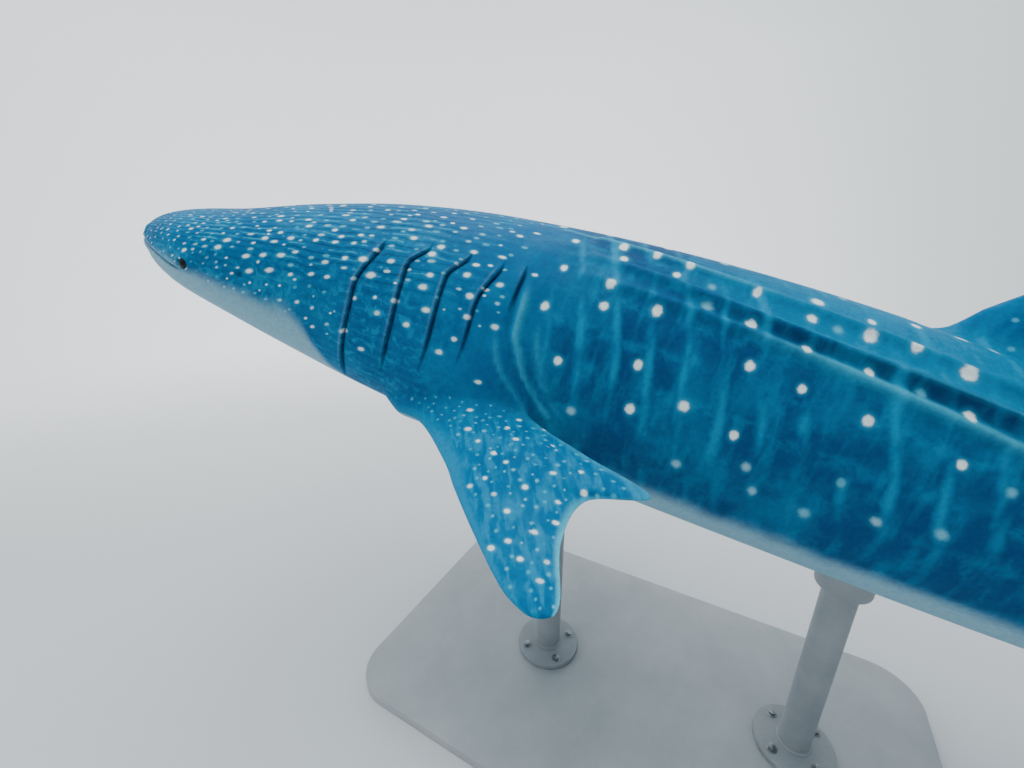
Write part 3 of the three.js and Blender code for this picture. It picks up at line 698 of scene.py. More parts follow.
# distances over the skin: from the snout along it, and from the midline of the back round it
meridianAt = np.concatenate([np.linspace(0, 1, 60) ** 2 * 4, np.linspace(4.1, 100, 400)])
meridian = barePoint(meridianAt, 60 + 0 * meridianAt)
meridian = np.concatenate([[0], np.cumsum(np.linalg.norm(np.diff(meridian, axis=0), axis=1))])
girthAt = np.concatenate([np.linspace(0.02, 1, 25) ** 2 * 5, np.linspace(5.3, 87, 150)])
girthTurns = np.linspace(0, 180, 91)
girthGrid = barePoint(*np.meshgrid(girthAt, girthTurns, indexing="ij"))
girthArcs = np.linalg.norm(np.diff(girthGrid, axis=1), axis=2).cumsum(1)
girthArcs = np.concatenate([np.zeros((len(girthAt), 1)), girthArcs], 1)


def alongSkin(along):
    return np.interp(along, meridianAt, meridian)


def roundSkin(along, angle):
    row = np.interp(along, girthAt, np.arange(len(girthAt)))
    column = np.clip(np.abs(angle) / 2, 0, 89.999)
    return readTable(girthArcs, row, column) * np.sign(angle)


finOuts = np.linspace(0, 1, 160)  # from root to tip, the lines at which a fin is measured


def finCoordinates(fin, side, points):
    # chord and span in per cent, thickness in metres, the share from front edge to rear and from root to tip
    if "frontRoot" in fin:
        origin, chordEnd, spanEnd, acrossEnd = (
            finSpace(fin, side)(*np.array(ends, float)[:, None])[0]
            for ends in ((0, 0, 0), (1, 0, 0), (0, 1, 0), (0, 0, 1))
        )
        ways = [(end - origin) / np.linalg.norm(end - origin) for end in (chordEnd, spanEnd, acrossEnd)]
        chord, span, across = ((points - origin) @ way for way in ways)
        chord, span = chord / shark["percent"], span / shark["percent"]
    else:
        flat = points[:, :2] / shark["percent"]
        chord = nearestOnBackbone(flat)
        tailwards, left = offBackbone(flat, chord)
        chord, across = chord + tailwards, left * shark["percent"]
        span = points[:, 2] / shark["percent"]
    front, rear = finOutline(fin, finOuts)
    here = np.stack([chord, span], -1)[:, None, :] - front[None]
    chordLine = (rear - front)[None]
    turn = chordLine[..., 0] * here[..., 1] - chordLine[..., 1] * here[..., 0]
    row = np.abs(turn / np.linalg.norm(chordLine, axis=-1)).argmin(1)
    line = (rear - front)[row]
    share = (here[np.arange(len(row)), row] * line).sum(-1) / np.square(line).sum(-1)
    return chord, span, across, np.clip(share, 0, 1), finOuts[row]


points = coordinates(skin.data)
along, angle = bodyCoordinates(points)
side = np.abs(angle)
bare = barePoint(np.minimum(along, 87), angle)
outward, tailward = outwards(np.minimum(along, 87), angle)
lift = np.sum((points - bare) * outward, -1)

faceCount = len(skin.data.polygons)
faceSizes = np.empty(faceCount, np.int32)
skin.data.polygons.foreach_get("loop_total", faceSizes)
cornerPoints = np.empty(len(skin.data.loops), np.int32)
skin.data.loops.foreach_get("vertex_index", cornerPoints)
cornerFaces = np.repeat(np.arange(faceCount), faceSizes)
faceOwner = np.zeros(faceCount, np.int32)
skin.data.polygons.foreach_get("material_index", faceOwner)
cornerOwner = faceOwner[cornerFaces]


def faceMean(values):
    return np.bincount(cornerFaces, values[cornerPoints], faceCount) / faceSizes


patternU = alongSkin(along)[cornerPoints]
arcs = roundSkin(along, angle)
faceSide = np.sign(faceMean(arcs) + 1e-9)[cornerFaces]
patternV = np.where(side[cornerPoints] > 120, np.abs(arcs[cornerPoints]) * faceSide, arcs[cornerPoints])

finShare = np.zeros(len(points))
finEdge = np.full(len(points), 0.5)
finOut = np.zeros(len(points))
underFin = np.zeros(len(points))
finTeal = np.zeros(len(points))  # how much paler than the trunk a fin is
finOffset = 20.0  # metres between the fins' patterns, so that no two share their spots
faceOffset = 8  # the same between the two faces of a fin
finTints = {"pectoral": 1, "pelvic": 0.8, "firstDorsal": 0.15, "secondDorsal": 0.3, "anal": 0.5,
            "caudalUpper": 0.35, "caudalLower": 0.45}
for number, (kind, handed) in enumerate(finList, 1):
    corners = cornerOwner == number
    mine = np.unique(cornerPoints[corners])
    chord, span, across, share, out = finCoordinates(fins[kind], handed, points[mine])
    byPoint = np.zeros((len(points), 3))
    byPoint[mine] = np.stack([chord * shark["percent"], span * shark["percent"], across], -1)
    faceAcross = np.sign(faceMean(byPoint[:, 2]) + 1e-9)[cornerFaces[corners]]
    patternU[corners] = byPoint[cornerPoints[corners], 0] + finOffset * number
    patternV[corners] = byPoint[cornerPoints[corners], 1] + np.where(faceAcross > 0, 0, faceOffset)
    height = np.abs(lift[mine])
    finShare[mine] = ramp(0.01, 0.09, height)
    finEdge[mine] = share
    finOut[mine] = out
    finTeal[mine] = finTints[kind]
    underFin[mine] = ramp(-0.3, 0.3, -across / 0.02) if "frontRoot" in fins[kind] else 0

# tones of the skin's points: the belly below its line, painted shade in the sunk slits, mouth and pits of the
# head, and painted highlights on edges
bellyLine = smoothCurve([(0, 97), (5, 100), (9, 104), (12.6, 109), (15, 143), (20, 143), (27, 130), (34, 127),
                         (48, 127), (62, 121), (76, 110), (87, 104), (100, 104)])
belly = ramp(-13, 11, side - bellyLine(along))
belly = belly * (1 - finShare) + underFin * finShare * 0.9
# painted shade: sunk skin is darkened, in the gill slits, along the mouth and in the pits round the eyes,
# spiracles and nostrils
creaseShade = np.clip((-lift - 0.002) / 0.014, 0, 1) * (1 - finShare) * ((along < 27) & (lift > -0.08))
creaseShade = creaseShade * np.where((along > 6) & (along < 13), 0.3, 1)
# painted highlights: pale lines along the flap edge just in front of each gill slit, and along the upper lip
# near the snout
paintedEdgeHighlight = 0 * along
for at, top, foot in zip(slitPlaces, slitTops, slitFeet):
    behind = (along - gillShift(along, side) - at) * shark["percent"]
    isOpen = ramp(top - 4, top + 4, side) * (1 - ramp(foot - 30, foot, side))
    paintedEdgeHighlight = np.maximum(paintedEdgeHighlight, isOpen * bell((behind + 0.003) / 0.005) * 0.07)
paintedLipHighlight = bell((belowMouth(along, side) + 0.014) / 0.008) * ramp(3.4, 1.8, along)
paintedEdgeHighlight = np.maximum(paintedEdgeHighlight, paintedLipHighlight * 0.45) * (1 - finShare)

# painted light of the ridges: a painted lit back above the middle one, a painted shade band under it, and
# painted highlights on the crests and folds
upper, middle, lower = (angle(along) for angle, height in ridgeCurves)
litBack = ramp(middle + 1, middle - 2.5, side) * ramp(30, 40, along)
paintedShadeBand = ramp(middle - 1, middle + 1.5, side) * ramp(lower - 0.5, lower - 3.5, side) * ramp(32, 42, along)
paintedCrestHighlights = [
    bell((side - upper) / 1.1) * ramp(22, 27, along) * ramp(40, 34, along),
    bell((side - middle) / 1.0) * ramp(40, 46, along) * 0.5,
    bell((side - lower) / 1.9) * ramp(35, 43, along) * ramp(84, 74, along),
    np.clip(foldRelief(along, side) / 0.011, 0, 1) * 0.8,
]
paintedCrestHighlight = np.max(paintedCrestHighlights, axis=0)


def keepOnPoints(name, *columns):
    attribute = skin.data.attributes.new(name, "FLOAT_VECTOR", "POINT")
    attribute.data.foreach_set("vector", np.stack(columns, -1).astype(np.float32).ravel())


keepOnPoints("bodyPlace", along, side, finShare)
# the belly's share, painted shade of sunk skin and painted edge highlights
keepOnPoints("bellyAndPaintedLight", belly, creaseShade, paintedEdgeHighlight)
keepOnPoints("bodyLight", *(tone * (1 - finShare) for tone in (litBack, paintedShadeBand, paintedCrestHighlight)))
keepOnPoints("finPlace", finEdge, finOut, finTeal)
patternMap = skin.data.uv_layers.new(name="patternMap")
patternMap.data.foreach_set("uv", np.stack([patternU, patternV], -1).astype(np.float32).ravel())
skin.data.uv_layers.active = patternMap
skin.data.uv_layers.remove(skin.data.uv_layers["UVMap"])
print("places on the body measured")

skin.data.transform(posed)
skin.data.update()

photo = {  # the camera of the photograph, whose frame is 1024 by 768 pixels
    "width": 1024,
    "height": 768,
    "at": (0.2779, -1.8487, 2.3953),
    "turnedLeft": 29.0,  # degrees from +Y towards -X
    "lookingDown": 20.0,
    "lens": 15.808,  # mm
    "sensor": 36,
}
turnedLeft, lookingDown = math.radians(photo["turnedLeft"]), math.radians(photo["lookingDown"])
lookAlong = Vector((
    -math.sin(turnedLeft) * math.cos(lookingDown),
    math.cos(turnedLeft) * math.cos(lookingDown),
    -math.sin(lookingDown),
))
lookRight = Vector((math.cos(turnedLeft), math.sin(turnedLeft), 0))
lookUp = lookRight.cross(lookAlong)


def spotAtPixel(x, y, number=0):
    # where a spot seen at a pixel lies in the pattern of the body, or of the fin with that number
    reach = photo["lens"] / photo["sensor"] * photo["width"]
    ray = lookAlong * reach + lookRight * (x - photo["width"] / 2) + lookUp * (photo["height"] / 2 - y)
    hit, place = skin.ray_cast(Vector(photo["at"]), ray.normalized())[:2]
    if not hit:
        return None
    flat = np.array([posed.inverted() @ place])
    if number:
        kind, handed = finList[number - 1]
        chord, span, across, share, out = finCoordinates(fins[kind], handed, flat)
        face = 0 if across[0] > 0 else faceOffset
        return float(chord[0] * shark["percent"]), float(span[0] * shark["percent"] + face)
    along, angle = bodyCoordinates(flat)
    return float(alongSkin(along)[0]), float(roundSkin(along, angle)[0])


# spots as pixels of the photograph: the left flank's column by column from the gills back
flankSpots = {
    "behindGills": [(545, 306), (545, 320), (564, 268), (558, 361), (564, 227), (576, 241)],
    "overFin": [(611, 283), (604, 306), (638, 365), (630, 409), (624, 247), (624, 259)],
    "firstColumn": [(657, 311), (684, 406), (668, 249), (658, 254), (677, 275), (691, 264)],
    "secondColumn": [(751, 325), (750, 366), (734, 435), (757, 293)],
    "thirdColumn": [(818, 302), (812, 319), (807, 349), (802, 389)],
    "fourthColumn": [(872, 322), (870, 337), (869, 373), (868, 421)],
    "fifthColumn": [(918, 345), (916, 326), (921, 367)],
    "underDorsal": [(961, 339), (969, 374), (970, 417), (962, 465)],
}
faintSpots = [(571, 411), (712, 287), (707, 307), (746, 467), (752, 491), (804, 513), (841, 483), (876, 522),
              (921, 394), (942, 535), (1012, 493), (838, 330), (676, 464), (751, 491)]
headSpots = [
    (184, 250), (227, 240), (218, 247), (246, 256), (263, 255), (265, 238), (281, 255), (291, 238),
    (316, 240), (335, 242), (249, 271), (269, 270), (311, 274), (325, 262), (345, 258), (354, 243),
    (335, 230), (309, 226), (361, 235), (381, 227), (414, 238), (353, 220), (297, 302), (343, 206),
    (388, 210), (404, 219), (464, 228), (429, 226), (520, 236), (535, 275),
]
gillSpots = [
    (363, 259), (391, 261), (371, 275), (377, 313), (406, 325), (354, 298), (396, 301), (423, 287),
    (430, 275), (432, 254), (441, 247), (426, 310), (454, 339), (439, 352), (474, 252), (467, 275),
    (500, 285), (467, 317), (495, 327), (470, 296), (361, 349), (345, 330), (478, 382),
]
pectoralSpots = [
    (493, 397), (519, 420), (545, 430), (551, 446), (494, 453), (525, 487), (494, 494), (553, 473),
    (581, 472), (584, 493), (507, 511), (534, 532), (520, 559), (508, 541), (547, 562), (491, 548),
    (506, 462), (478, 441), (470, 410), (468, 429), (507, 428), (516, 439), (485, 478), (558, 502),
    (556, 523), (540, 581), (470, 486),
]
picker = random.Random(7)
spots = []  # pattern place, radius, stretch along the body, brightness, softness


def addSpot(u, v, radius, stretch, bright, soft):
    # a spot, unless it would touch one that is there
    for other in spots:
        if math.hypot((other[0] - u) / stretch, other[1] - v) < 1.6 * (radius + other[2]):
            return
    spots.append((u, v, radius, stretch, bright, soft))


leftPectoral = finList.index(("pectoral", 1)) + 1
seenSpots = [  # pixels, radius in metres, stretch along the body, brightness, softness, fin number
    (sum(flankSpots.values(), []), (0.0145, 0.0205), (0.8, 1.05), (0.9, 1), 0.5, 0),
    (faintSpots, (0.016, 0.021), (0.8, 1.1), (0.3, 0.45), 0.9, 0),
    (headSpots, (0.0065, 0.0095), (1.4, 1.8), (0.7, 1), 0.55, 0),
    (gillSpots, (0.0085, 0.012), (1.3, 1.6), (0.65, 1), 0.6, 0),
    (pectoralSpots, (0.0062, 0.0090), (1.2, 1.7), (0.6, 1), 0.6, leftPectoral),
]
for pixels, radii, stretches, brights, soft, onFin in seenSpots:
    for pixel in pixels:
        found = spotAtPixel(*pixel, onFin)
        if found is None:
            continue
        looks = picker.uniform(*radii), picker.uniform(*stretches), picker.uniform(*brights), soft
        # much the same spots mark the side that the photograph doesn't show
        if onFin:
            for number in (leftPectoral, leftPectoral + 1):
                addSpot(found[0] + finOffset * number, found[1], *looks)
        else:
            addSpot(*found, *looks)
            addSpot(found[0] + picker.uniform(-0.03, 0.03), -found[1] + picker.uniform(-0.03, 0.03), *looks)
print("spots read from the photograph:", len(spots))

# the rest of the spots continue the same order: rows on the head, columns on the trunk and tail
spotRows = {
    "headFirst": 3, "headStep": 4.7, "headLast": 108,  # degrees
    "trunkFirst": 27.6, "columnStep": 3.1, "trunkLast": 86,  # per cent along
    "columnLean": 0.045, "arcStep": 0.185,
    "seen": (26, 50, 28, 118),  # the stretch of the flank whose spots are read from the photograph
}


def placeOnSkin(at, turn):
    at = np.array([at])
    return float(alongSkin(at)[0]), float(roundSkin(at, np.array([turn]))[0])


def addHeadRows(handed):
    row = spotRows["headFirst"]
    while row < spotRows["headLast"]:
        at = 0.1 + picker.uniform(0, 0.5)
        while at < (25 if row < 86 else 15):
            grown = min(at / 14, 1)
            radius = (0.0028 + 0.0030 * grown) * picker.uniform(0.7, 1.3)
            turn = row + picker.uniform(-0.9, 0.9) + 1.4 * math.sin(at * 1.1 + row)
            stretch = picker.uniform(1.4, 2.2) if row < 78 else picker.uniform(0.9, 1.5)
            bright = picker.uniform(0.2, 0.6) if picker.random() < 0.7 else picker.uniform(0.65, 0.95)
            addSpot(*placeOnSkin(at, handed * turn), radius, stretch, bright, 0.5)
            at += (0.42 + 0.75 * grown) * picker.uniform(0.7, 1.5)
        row += spotRows["headStep"] * picker.uniform(0.9, 1.1)


def addTrunkColumns(handed):
    seenFrom, seenTo, seenTop, seenFoot = spotRows["seen"]
    column = spotRows["trunkFirst"]
    while column < spotRows["trunkLast"]:
        halfGirth = placeOnSkin(column, 180.0)[1]
        taper = float(ramp(50, 86, column))
        arc = 0.07 + picker.uniform(0, 0.05)
        while arc < halfGirth * 0.64:
            turn = 180 * arc / halfGirth
            at = column + spotRows["columnLean"] * (turn - 50) + picker.uniform(-0.35, 0.35)
            radius = picker.uniform(0.013, 0.019) * (1 - 0.4 * taper)
            seen = seenFrom < at < seenTo and seenTop < turn < seenFoot
            if 25.5 < at < spotRows["trunkLast"] and not seen:
                bright = picker.uniform(0.5, 0.95) * (1 - 0.5 * float(ramp(85, 110, turn)))
                addSpot(*placeOnSkin(at, handed * turn), radius, picker.uniform(0.8, 1.15), bright, 0.6)
            arc += spotRows["arcStep"] * picker.uniform(0.75, 1.2) * (1 - 0.35 * taper)
        column += spotRows["columnStep"] * (1 - 0.35 * float(ramp(55, 86, column)))


for handed in (1, -1):
    addHeadRows(handed)
    addTrunkColumns(handed)

finSpots = {  # distance between spots, radius, brightness, how far from the front and rear edges
    "pectoral": (0.052, 0.0052, 0.32, 0.17, 0.93),
    "pelvic": (0.045, 0.006, 0.5, 0.15, 0.92),
    "firstDorsal": (0.120, 0.011, 0.35, 0.12, 0.92),
    "secondDorsal": (0.080, 0.008, 0.45, 0.14, 0.9),
    "anal": (0.070, 0.007, 0.4, 0.14, 0.9),
    "caudalUpper": (0.095, 0.010, 0.55, 0.12, 0.9),
    "caudalLower": (0.090, 0.009, 0.45, 0.12, 0.9),
}
lastOut = len(finOuts) - 1
for number, (kind, handed) in enumerate(finList, 1):
    step, radius, bright, nearFront, nearRear = finSpots[kind]
    fronts, rears = finOutline(fins[kind], finOuts)
    lengths = np.linalg.norm(rears - fronts, axis=1) * shark["percent"]
    for face in (0, faceOffset):
        out = 0.09
        while out < 0.97:
            i = int(out * lastOut)
            front, rear, length = fronts[i], rears[i], lengths[i]
            share = nearFront + picker.uniform(0, step / length)
            while share < nearRear:
                place = (front * (1 - share) + rear * share) * shark["percent"]
                u = place[0] + picker.uniform(-0.13, 0.13) * step + finOffset * number
                v = place[1] + picker.uniform(-0.22, 0.22) * step + face
                size = radius * picker.uniform(0.7, 1.25)
                stretch = picker.uniform(1.2, 1.7) * (1 - 0.35 * out)
                addSpot(float(u), float(v), size, stretch, bright * picker.uniform(0.5, 1.2), 0.6)
                share += step / length * picker.uniform(0.85, 1.25)
            rise = np.linalg.norm(fronts[min(i + 1, lastOut)] - front) * shark["percent"] * lastOut
            out += step * 0.95 / max(rise, 0.2)
print("spots in all:", len(spots))

# each face keeps the place and look of the spot that it lies in or near
spotTree = kdtree.KDTree(len(spots))
for i, spot in enumerate(spots):
    spotTree.insert((spot[0], spot[1], 0), i)
spotTree.balance()
faceU = np.bincount(cornerFaces, patternU, faceCount) / faceSizes
faceV = np.bincount(cornerFaces, patternV, faceCount) / faceSizes
spotPlaces = np.zeros((faceCount, 3), np.float32)
spotLooks = np.zeros((faceCount, 3), np.float32)
for i in range(faceCount):
    near = spotTree.find_n((faceU[i], faceV[i], 0), 3)
    place, chosen, distance = min(near, key=lambda found: found[2] / spots[found[1]][2])
    u, v, radius, stretch, bright, soft = spots[chosen]
    spotPlaces[i] = u, v, radius
    spotLooks[i] = stretch, bright, soft
for name, values in (("spotPlace", spotPlaces), ("spotLook", spotLooks)):
    skin.data.attributes.new(name, "FLOAT_VECTOR", "FACE").data.foreach_set("vector", values.ravel())
print("spots set on the faces")

skin.data.polygons.foreach_set("material_index", np.zeros(faceCount, np.int32))
skin.data.materials.clear()
for leftover in [m for m in bpy.data.materials if m.name.startswith("growing")]:
    bpy.data.materials.remove(leftover)


def linear(hexColour):
    channels = [int(hexColour[i:i + 2], 16) / 255 for i in (1, 3, 5)]
    return [c / 12.92 if c <= 0.04045 else ((c + 0.055) / 1.055) ** 2.4 for c in channels] + [1]


def newMaterial(name):
    material = bpy.data.materials.new(name)
    material.use_nodes = True
    material.node_tree.nodes.clear()
    return material, material.node_tree


def addNode(tree, kind, settings=None, **inputs):
    # one node with its settings, its inputs linked or filled in; gives its outputs
    node = tree.nodes.new("ShaderNode" + kind)
    for name, value in (settings or {}).items():
        setattr(node, name, value)
    for name, value in inputs.items():
        numbered = name[0] == "i" and name[1:].isdigit()
        slot = node.inputs[int(name[1:]) if numbered else name.replace("_", " ")]
        if isinstance(value, bpy.types.NodeSocket):
            tree.links.new(value, slot)
        else:
            slot.default_value = value
    return node.outputs


hide = {  # wet hide of a shark: slate blue over a pale belly, matt from its fine denticles, with milky spots
    "night": "#00274a",
    "dark": "#004677",
    "slate": "#006093",
    "teal": "#0a95c1",
    "pale": "#45c0dc",
    "spot": "#effcfb",
    "belly": "#86b4c8",
    # colour of the painted shade in sunk skin
    "creaseShade": "#063052",
    "mottleScale": 0.24,  # metres from cloud to cloud
    "blotchScale": 0.07,
    "swirlScale": 0.05,
    "barSpacing": 0.95,  # per cent of the length, half the way from bar to bar
    "barLean": 0.045,
    "lineSpacing": 6.5,  # degrees, half the way from one lengthwise line of the trunk to the next
    "rowSpacing": 2.35,  # degrees, the same for the fine lines of the head
    "streakScale": 0.028,  # metres, across the streaks of the fins
    "streakStretch": 0.36,
    "streakSweep": 0.5,
    "grains": 70.0,  # to the metre
    "wrinkles": 26.0,
    "denticle": 0.007,  # metres; the real ones are finer than a millimetre, and too fine to show
    "roughness": 0.6,
}


def hideMaterial():
    material, tree = newMaterial("denticledHide")
    smooth = {"interpolation_type": "SMOOTHSTEP"}
    times, timesPlus, pingPong = ({"operation": name} for name in ("MULTIPLY", "MULTIPLY_ADD", "PINGPONG"))
    plus, minus, most = ({"operation": name} for name in ("ADD", "SUBTRACT", "MAXIMUM"))
    blend = {"data_type": "RGBA"}
    where = addNode(tree, "TexCoord")["Object"]
    kept = {}
    for name in ("bodyPlace", "bellyAndPaintedLight", "bodyLight", "finPlace", "spotPlace", "spotLook"):
        vector = addNode(tree, "Attribute", {"attribute_name": name})["Vector"]
        kept[name] = addNode(tree, "SeparateXYZ", Vector=vector)
    along, side, finShare = (kept["bodyPlace"][i] for i in range(3))
    # painted light read back: shade of sunk skin and highlights on edges, then the ridges' lit back, shade
    # band and crest highlights
    belly, creaseShade, paintedEdgeHighlight = (kept["bellyAndPaintedLight"][i] for i in range(3))
    litBack, paintedShadeBand, paintedCrestHighlight = (kept["bodyLight"][i] for i in range(3))
    finEdge, finOut, finTeal = (kept["finPlace"][i] for i in range(3))
    place = addNode(tree, "SeparateXYZ", Vector=addNode(tree, "UVMap", {"uv_map": "patternMap"})[0])
    spot, look = kept["spotPlace"], kept["spotLook"]
    onBody = addNode(tree, "Math", minus, i0=1.0, i1=finShare)[0]

    mottle = addNode(tree, "TexNoise", Vector=where, Scale=1 / hide["mottleScale"], Detail=4.0,
                     Roughness=0.6, Distortion=0.4)[0]
    blotches = addNode(tree, "TexNoise", Vector=where, Scale=1 / hide["blotchScale"], Detail=3.0,
                       Roughness=0.55, Distortion=0.8)[0]
    swirls = addNode(tree, "TexNoise", Vector=where, Scale=1 / hide["swirlScale"], Detail=2.0,
                     Roughness=0.5, Distortion=1.6)[0]
    fine = addNode(tree, "TexNoise", Vector=where, Scale=hide["grains"], Detail=3.0, Roughness=0.6)[0]

    # spots: round the face's spot place, with an uneven rim and a faint halo
    du = addNode(tree, "Math", minus, i0=place[0], i1=spot[0])[0]
    du = addNode(tree, "Math", {"operation": "DIVIDE"}, i0=du, i1=look[0])[0]
    dv = addNode(tree, "Math", minus, i0=place[1], i1=spot[1])[0]
    away = addNode(tree, "CombineXYZ", X=du, Y=dv)[0]
    away = addNode(tree, "VectorMath", {"operation": "LENGTH"}, i0=away)["Value"]
    away = addNode(tree, "Math", {"operation": "DIVIDE"}, i0=away, i1=spot[2])[0]
    uneven = addNode(tree, "Math", timesPlus, i0=fine, i1=0.9, i2=-0.45)[0]
    away = addNode(tree, "Math", plus, i0=away, i1=uneven)[0]
    inner = addNode(tree, "Math", timesPlus, i0=look[2], i1=-0.9, i2=1.05)[0]
    core = addNode(tree, "MapRange", smooth, Value=away, From_Min=1.25, From_Max=inner)[0]
    milky = addNode(tree, "MapRange", smooth, Value=look[1], From_Min=0.2, From_Max=0.8)[0]
    spotColour = addNode(tree, "Mix", blend, i0=milky, i6=linear(hide["pale"]), i7=linear(hide["spot"]))[2]
    core = addNode(tree, "Math", times, i0=core, i1=addNode(
        tree, "Math", timesPlus, i0=look[1], i1=0.6, i2=0.4)[0])[0]
    halo = addNode(tree, "MapRange", smooth, Value=away, From_Min=2.1, From_Max=0.9, To_Max=0.3)[0]
    halo = addNode(tree, "Math", times, i0=halo, i1=look[1])[0]

    # trunk: dark cells, framed by soft upright bars and by lengthwise lines that come and go
    onTrunk = addNode(tree, "MapRange", smooth, Value=along, From_Min=24.5, From_Max=29.5)[0]
    onTrunk = addNode(tree, "Math", times, i0=onTrunk, i1=onBody)[0]
    leaned = addNode(tree, "Math", timesPlus, i0=side, i1=-hide["barLean"], i2=along)[0]
    leaned = addNode(tree, "Math", timesPlus, i0=mottle, i1=0.8, i2=leaned)[0]
    bars = addNode(tree, "Math", pingPong, i0=leaned, i1=hide["barSpacing"])[0]
    bars = addNode(tree, "MapRange", smooth, Value=bars, From_Min=0.42, From_Max=0.02)[0]
    upright = addNode(tree, "Math", times, i0=side, i1=0.05)[0]
    stretched = addNode(tree, "CombineXYZ", X=along, Y=upright)[0]
    breaks = addNode(tree, "TexNoise", Vector=stretched, Scale=0.8, Detail=2.0)
    barShare = addNode(tree, "MapRange", smooth, Value=breaks[0], From_Min=0.42, From_Max=0.66,
                       To_Min=0.06)[0]
    bars = addNode(tree, "Math", times, i0=bars, i1=barShare)[0]
    lines = addNode(tree, "Math", timesPlus, i0=mottle, i1=9.0, i2=side)[0]
    lines = addNode(tree, "Math", pingPong, i0=lines, i1=hide["lineSpacing"])[0]
    lines = addNode(tree, "MapRange", smooth, Value=lines, From_Min=3.4, From_Max=0.2)[0]
    lineShare = addNode(tree, "MapRange", smooth, Value=blotches, From_Min=0.42, From_Max=0.62, To_Max=0.4)[0]
    lines = addNode(tree, "Math", times, i0=lines, i1=lineShare)[0]
    frames = addNode(tree, "Math", most, i0=bars, i1=lines)[0]
    frames = addNode(tree, "Math", times, i0=frames, i1=onTrunk)[0]
    upright = addNode(tree, "Math", times, i0=side, i1=0.035)[0]
    brush = addNode(tree, "CombineXYZ", X=along, Y=upright)[0]
    brush = addNode(tree, "TexNoise", Vector=brush, Scale=1.2, Detail=4.0, Roughness=0.55)[0]
    brush = addNode(tree, "MapRange", smooth, Value=brush, From_Min=0.46, From_Max=0.72, To_Max=0.6)[0]
    brush = addNode(tree, "Math", times, i0=brush, i1=onTrunk)[0]
    onUpright = addNode(tree, "MapRange", smooth, Value=side, From_Min=112.0, From_Max=84.0, To_Min=0.25)[0]
    frames = addNode(tree, "Math", times, i0=frames, i1=onUpright)[0]

    # head and nape: fine lines that draw together at the snout, and blotches over the cheeks and gills
    onHead = addNode(tree, "MapRange", smooth, Value=along, From_Min=26.0, From_Max=17.0)[0]
    onHead = addNode(tree, "Math", times, i0=onHead, i1=onBody)[0]
    onCheek = addNode(tree, "MapRange", smooth, Value=side, From_Min=68.0, From_Max=90.0)[0]
    onCrown = addNode(tree, "Math", timesPlus, i0=onCheek, i1=-0.75, i2=1.0)[0]
    rows = addNode(tree, "Math", timesPlus, i0=mottle, i1=7.0, i2=side)[0]
    rows = addNode(tree, "Math", timesPlus, i0=blotches, i1=2.4, i2=rows)[0]
    rows = addNode(tree, "Math", pingPong, i0=rows, i1=hide["rowSpacing"])[0]
    rowShare = addNode(tree, "Math", times, i0=onHead, i1=onCrown)[0]
    paleRows = addNode(tree, "MapRange", smooth, Value=rows, From_Min=0.9, From_Max=0.1, To_Max=0.5)[0]
    rowBreaks = addNode(tree, "MapRange", smooth, Value=blotches, From_Min=0.44, From_Max=0.62)[0]
    paleRows = addNode(tree, "Math", times, i0=paleRows, i1=rowBreaks)[0]
    paleRows = addNode(tree, "Math", times, i0=paleRows, i1=rowShare)[0]
    darkRows = addNode(tree, "MapRange", smooth, Value=rows, From_Min=1.4, From_Max=2.3, To_Max=0.5)[0]
    darkRows = addNode(tree, "Math", times, i0=darkRows, i1=rowShare)[0]
    dabs = addNode(tree, "MapRange", smooth, Value=swirls, From_Min=0.50, From_Max=0.66, To_Max=0.55)[0]
    dabs = addNode(tree, "Math", times, i0=dabs, i1=onHead)[0]
    dabs = addNode(tree, "Math", times, i0=dabs, i1=addNode(
        tree, "Math", timesPlus, i0=onCheek, i1=0.75, i2=0.25)[0])[0]

    # fins: short streaks along the swept front edge, that edge pale, and the rear one whitish towards the tip
    swept = addNode(tree, "Math", timesPlus, i0=place[1], i1=-hide["streakSweep"], i2=place[0])[0]
    outOnFin = addNode(tree, "Math", times, i0=place[1], i1=hide["streakStretch"])[0]
    streakPlace = addNode(tree, "CombineXYZ", X=swept, Y=outOnFin)[0]
    streaks = addNode(tree, "TexNoise", Vector=streakPlace, Scale=1 / hide["streakScale"], Detail=2.0,
                      Distortion=0.3)[0]
    streaks = addNode(tree, "MapRange", smooth, Value=streaks, From_Min=0.40, From_Max=0.66)[0]
    streaks = addNode(tree, "Math", times, i0=streaks, i1=addNode(
        tree, "Math", timesPlus, i0=finTeal, i1=0.5, i2=0.25)[0])[0]
    frontBand = addNode(tree, "MapRange", smooth, Value=finEdge, From_Min=0.17, From_Max=0.05, To_Max=0.8)[0]
    frontBand = addNode(tree, "Math", times, i0=frontBand, i1=finTeal)[0]
    streaks = addNode(tree, "Math", most, i0=streaks, i1=frontBand)[0]
    streaks = addNode(tree, "Math", times, i0=streaks, i1=finShare)[0]
    rearBand = addNode(tree, "MapRange", smooth, Value=finEdge, From_Min=0.90, From_Max=0.985)[0]
    rearBand = addNode(tree, "Math", times, i0=rearBand, i1=addNode(
        tree, "MapRange", smooth, Value=finOut, From_Min=0.45, From_Max=0.8, To_Min=0.25)[0])[0]
    rearBand = addNode(tree, "Math", times, i0=rearBand, i1=finShare)[0]
    finGround = addNode(tree, "Math", times, i0=finTeal, i1=finShare)[0]

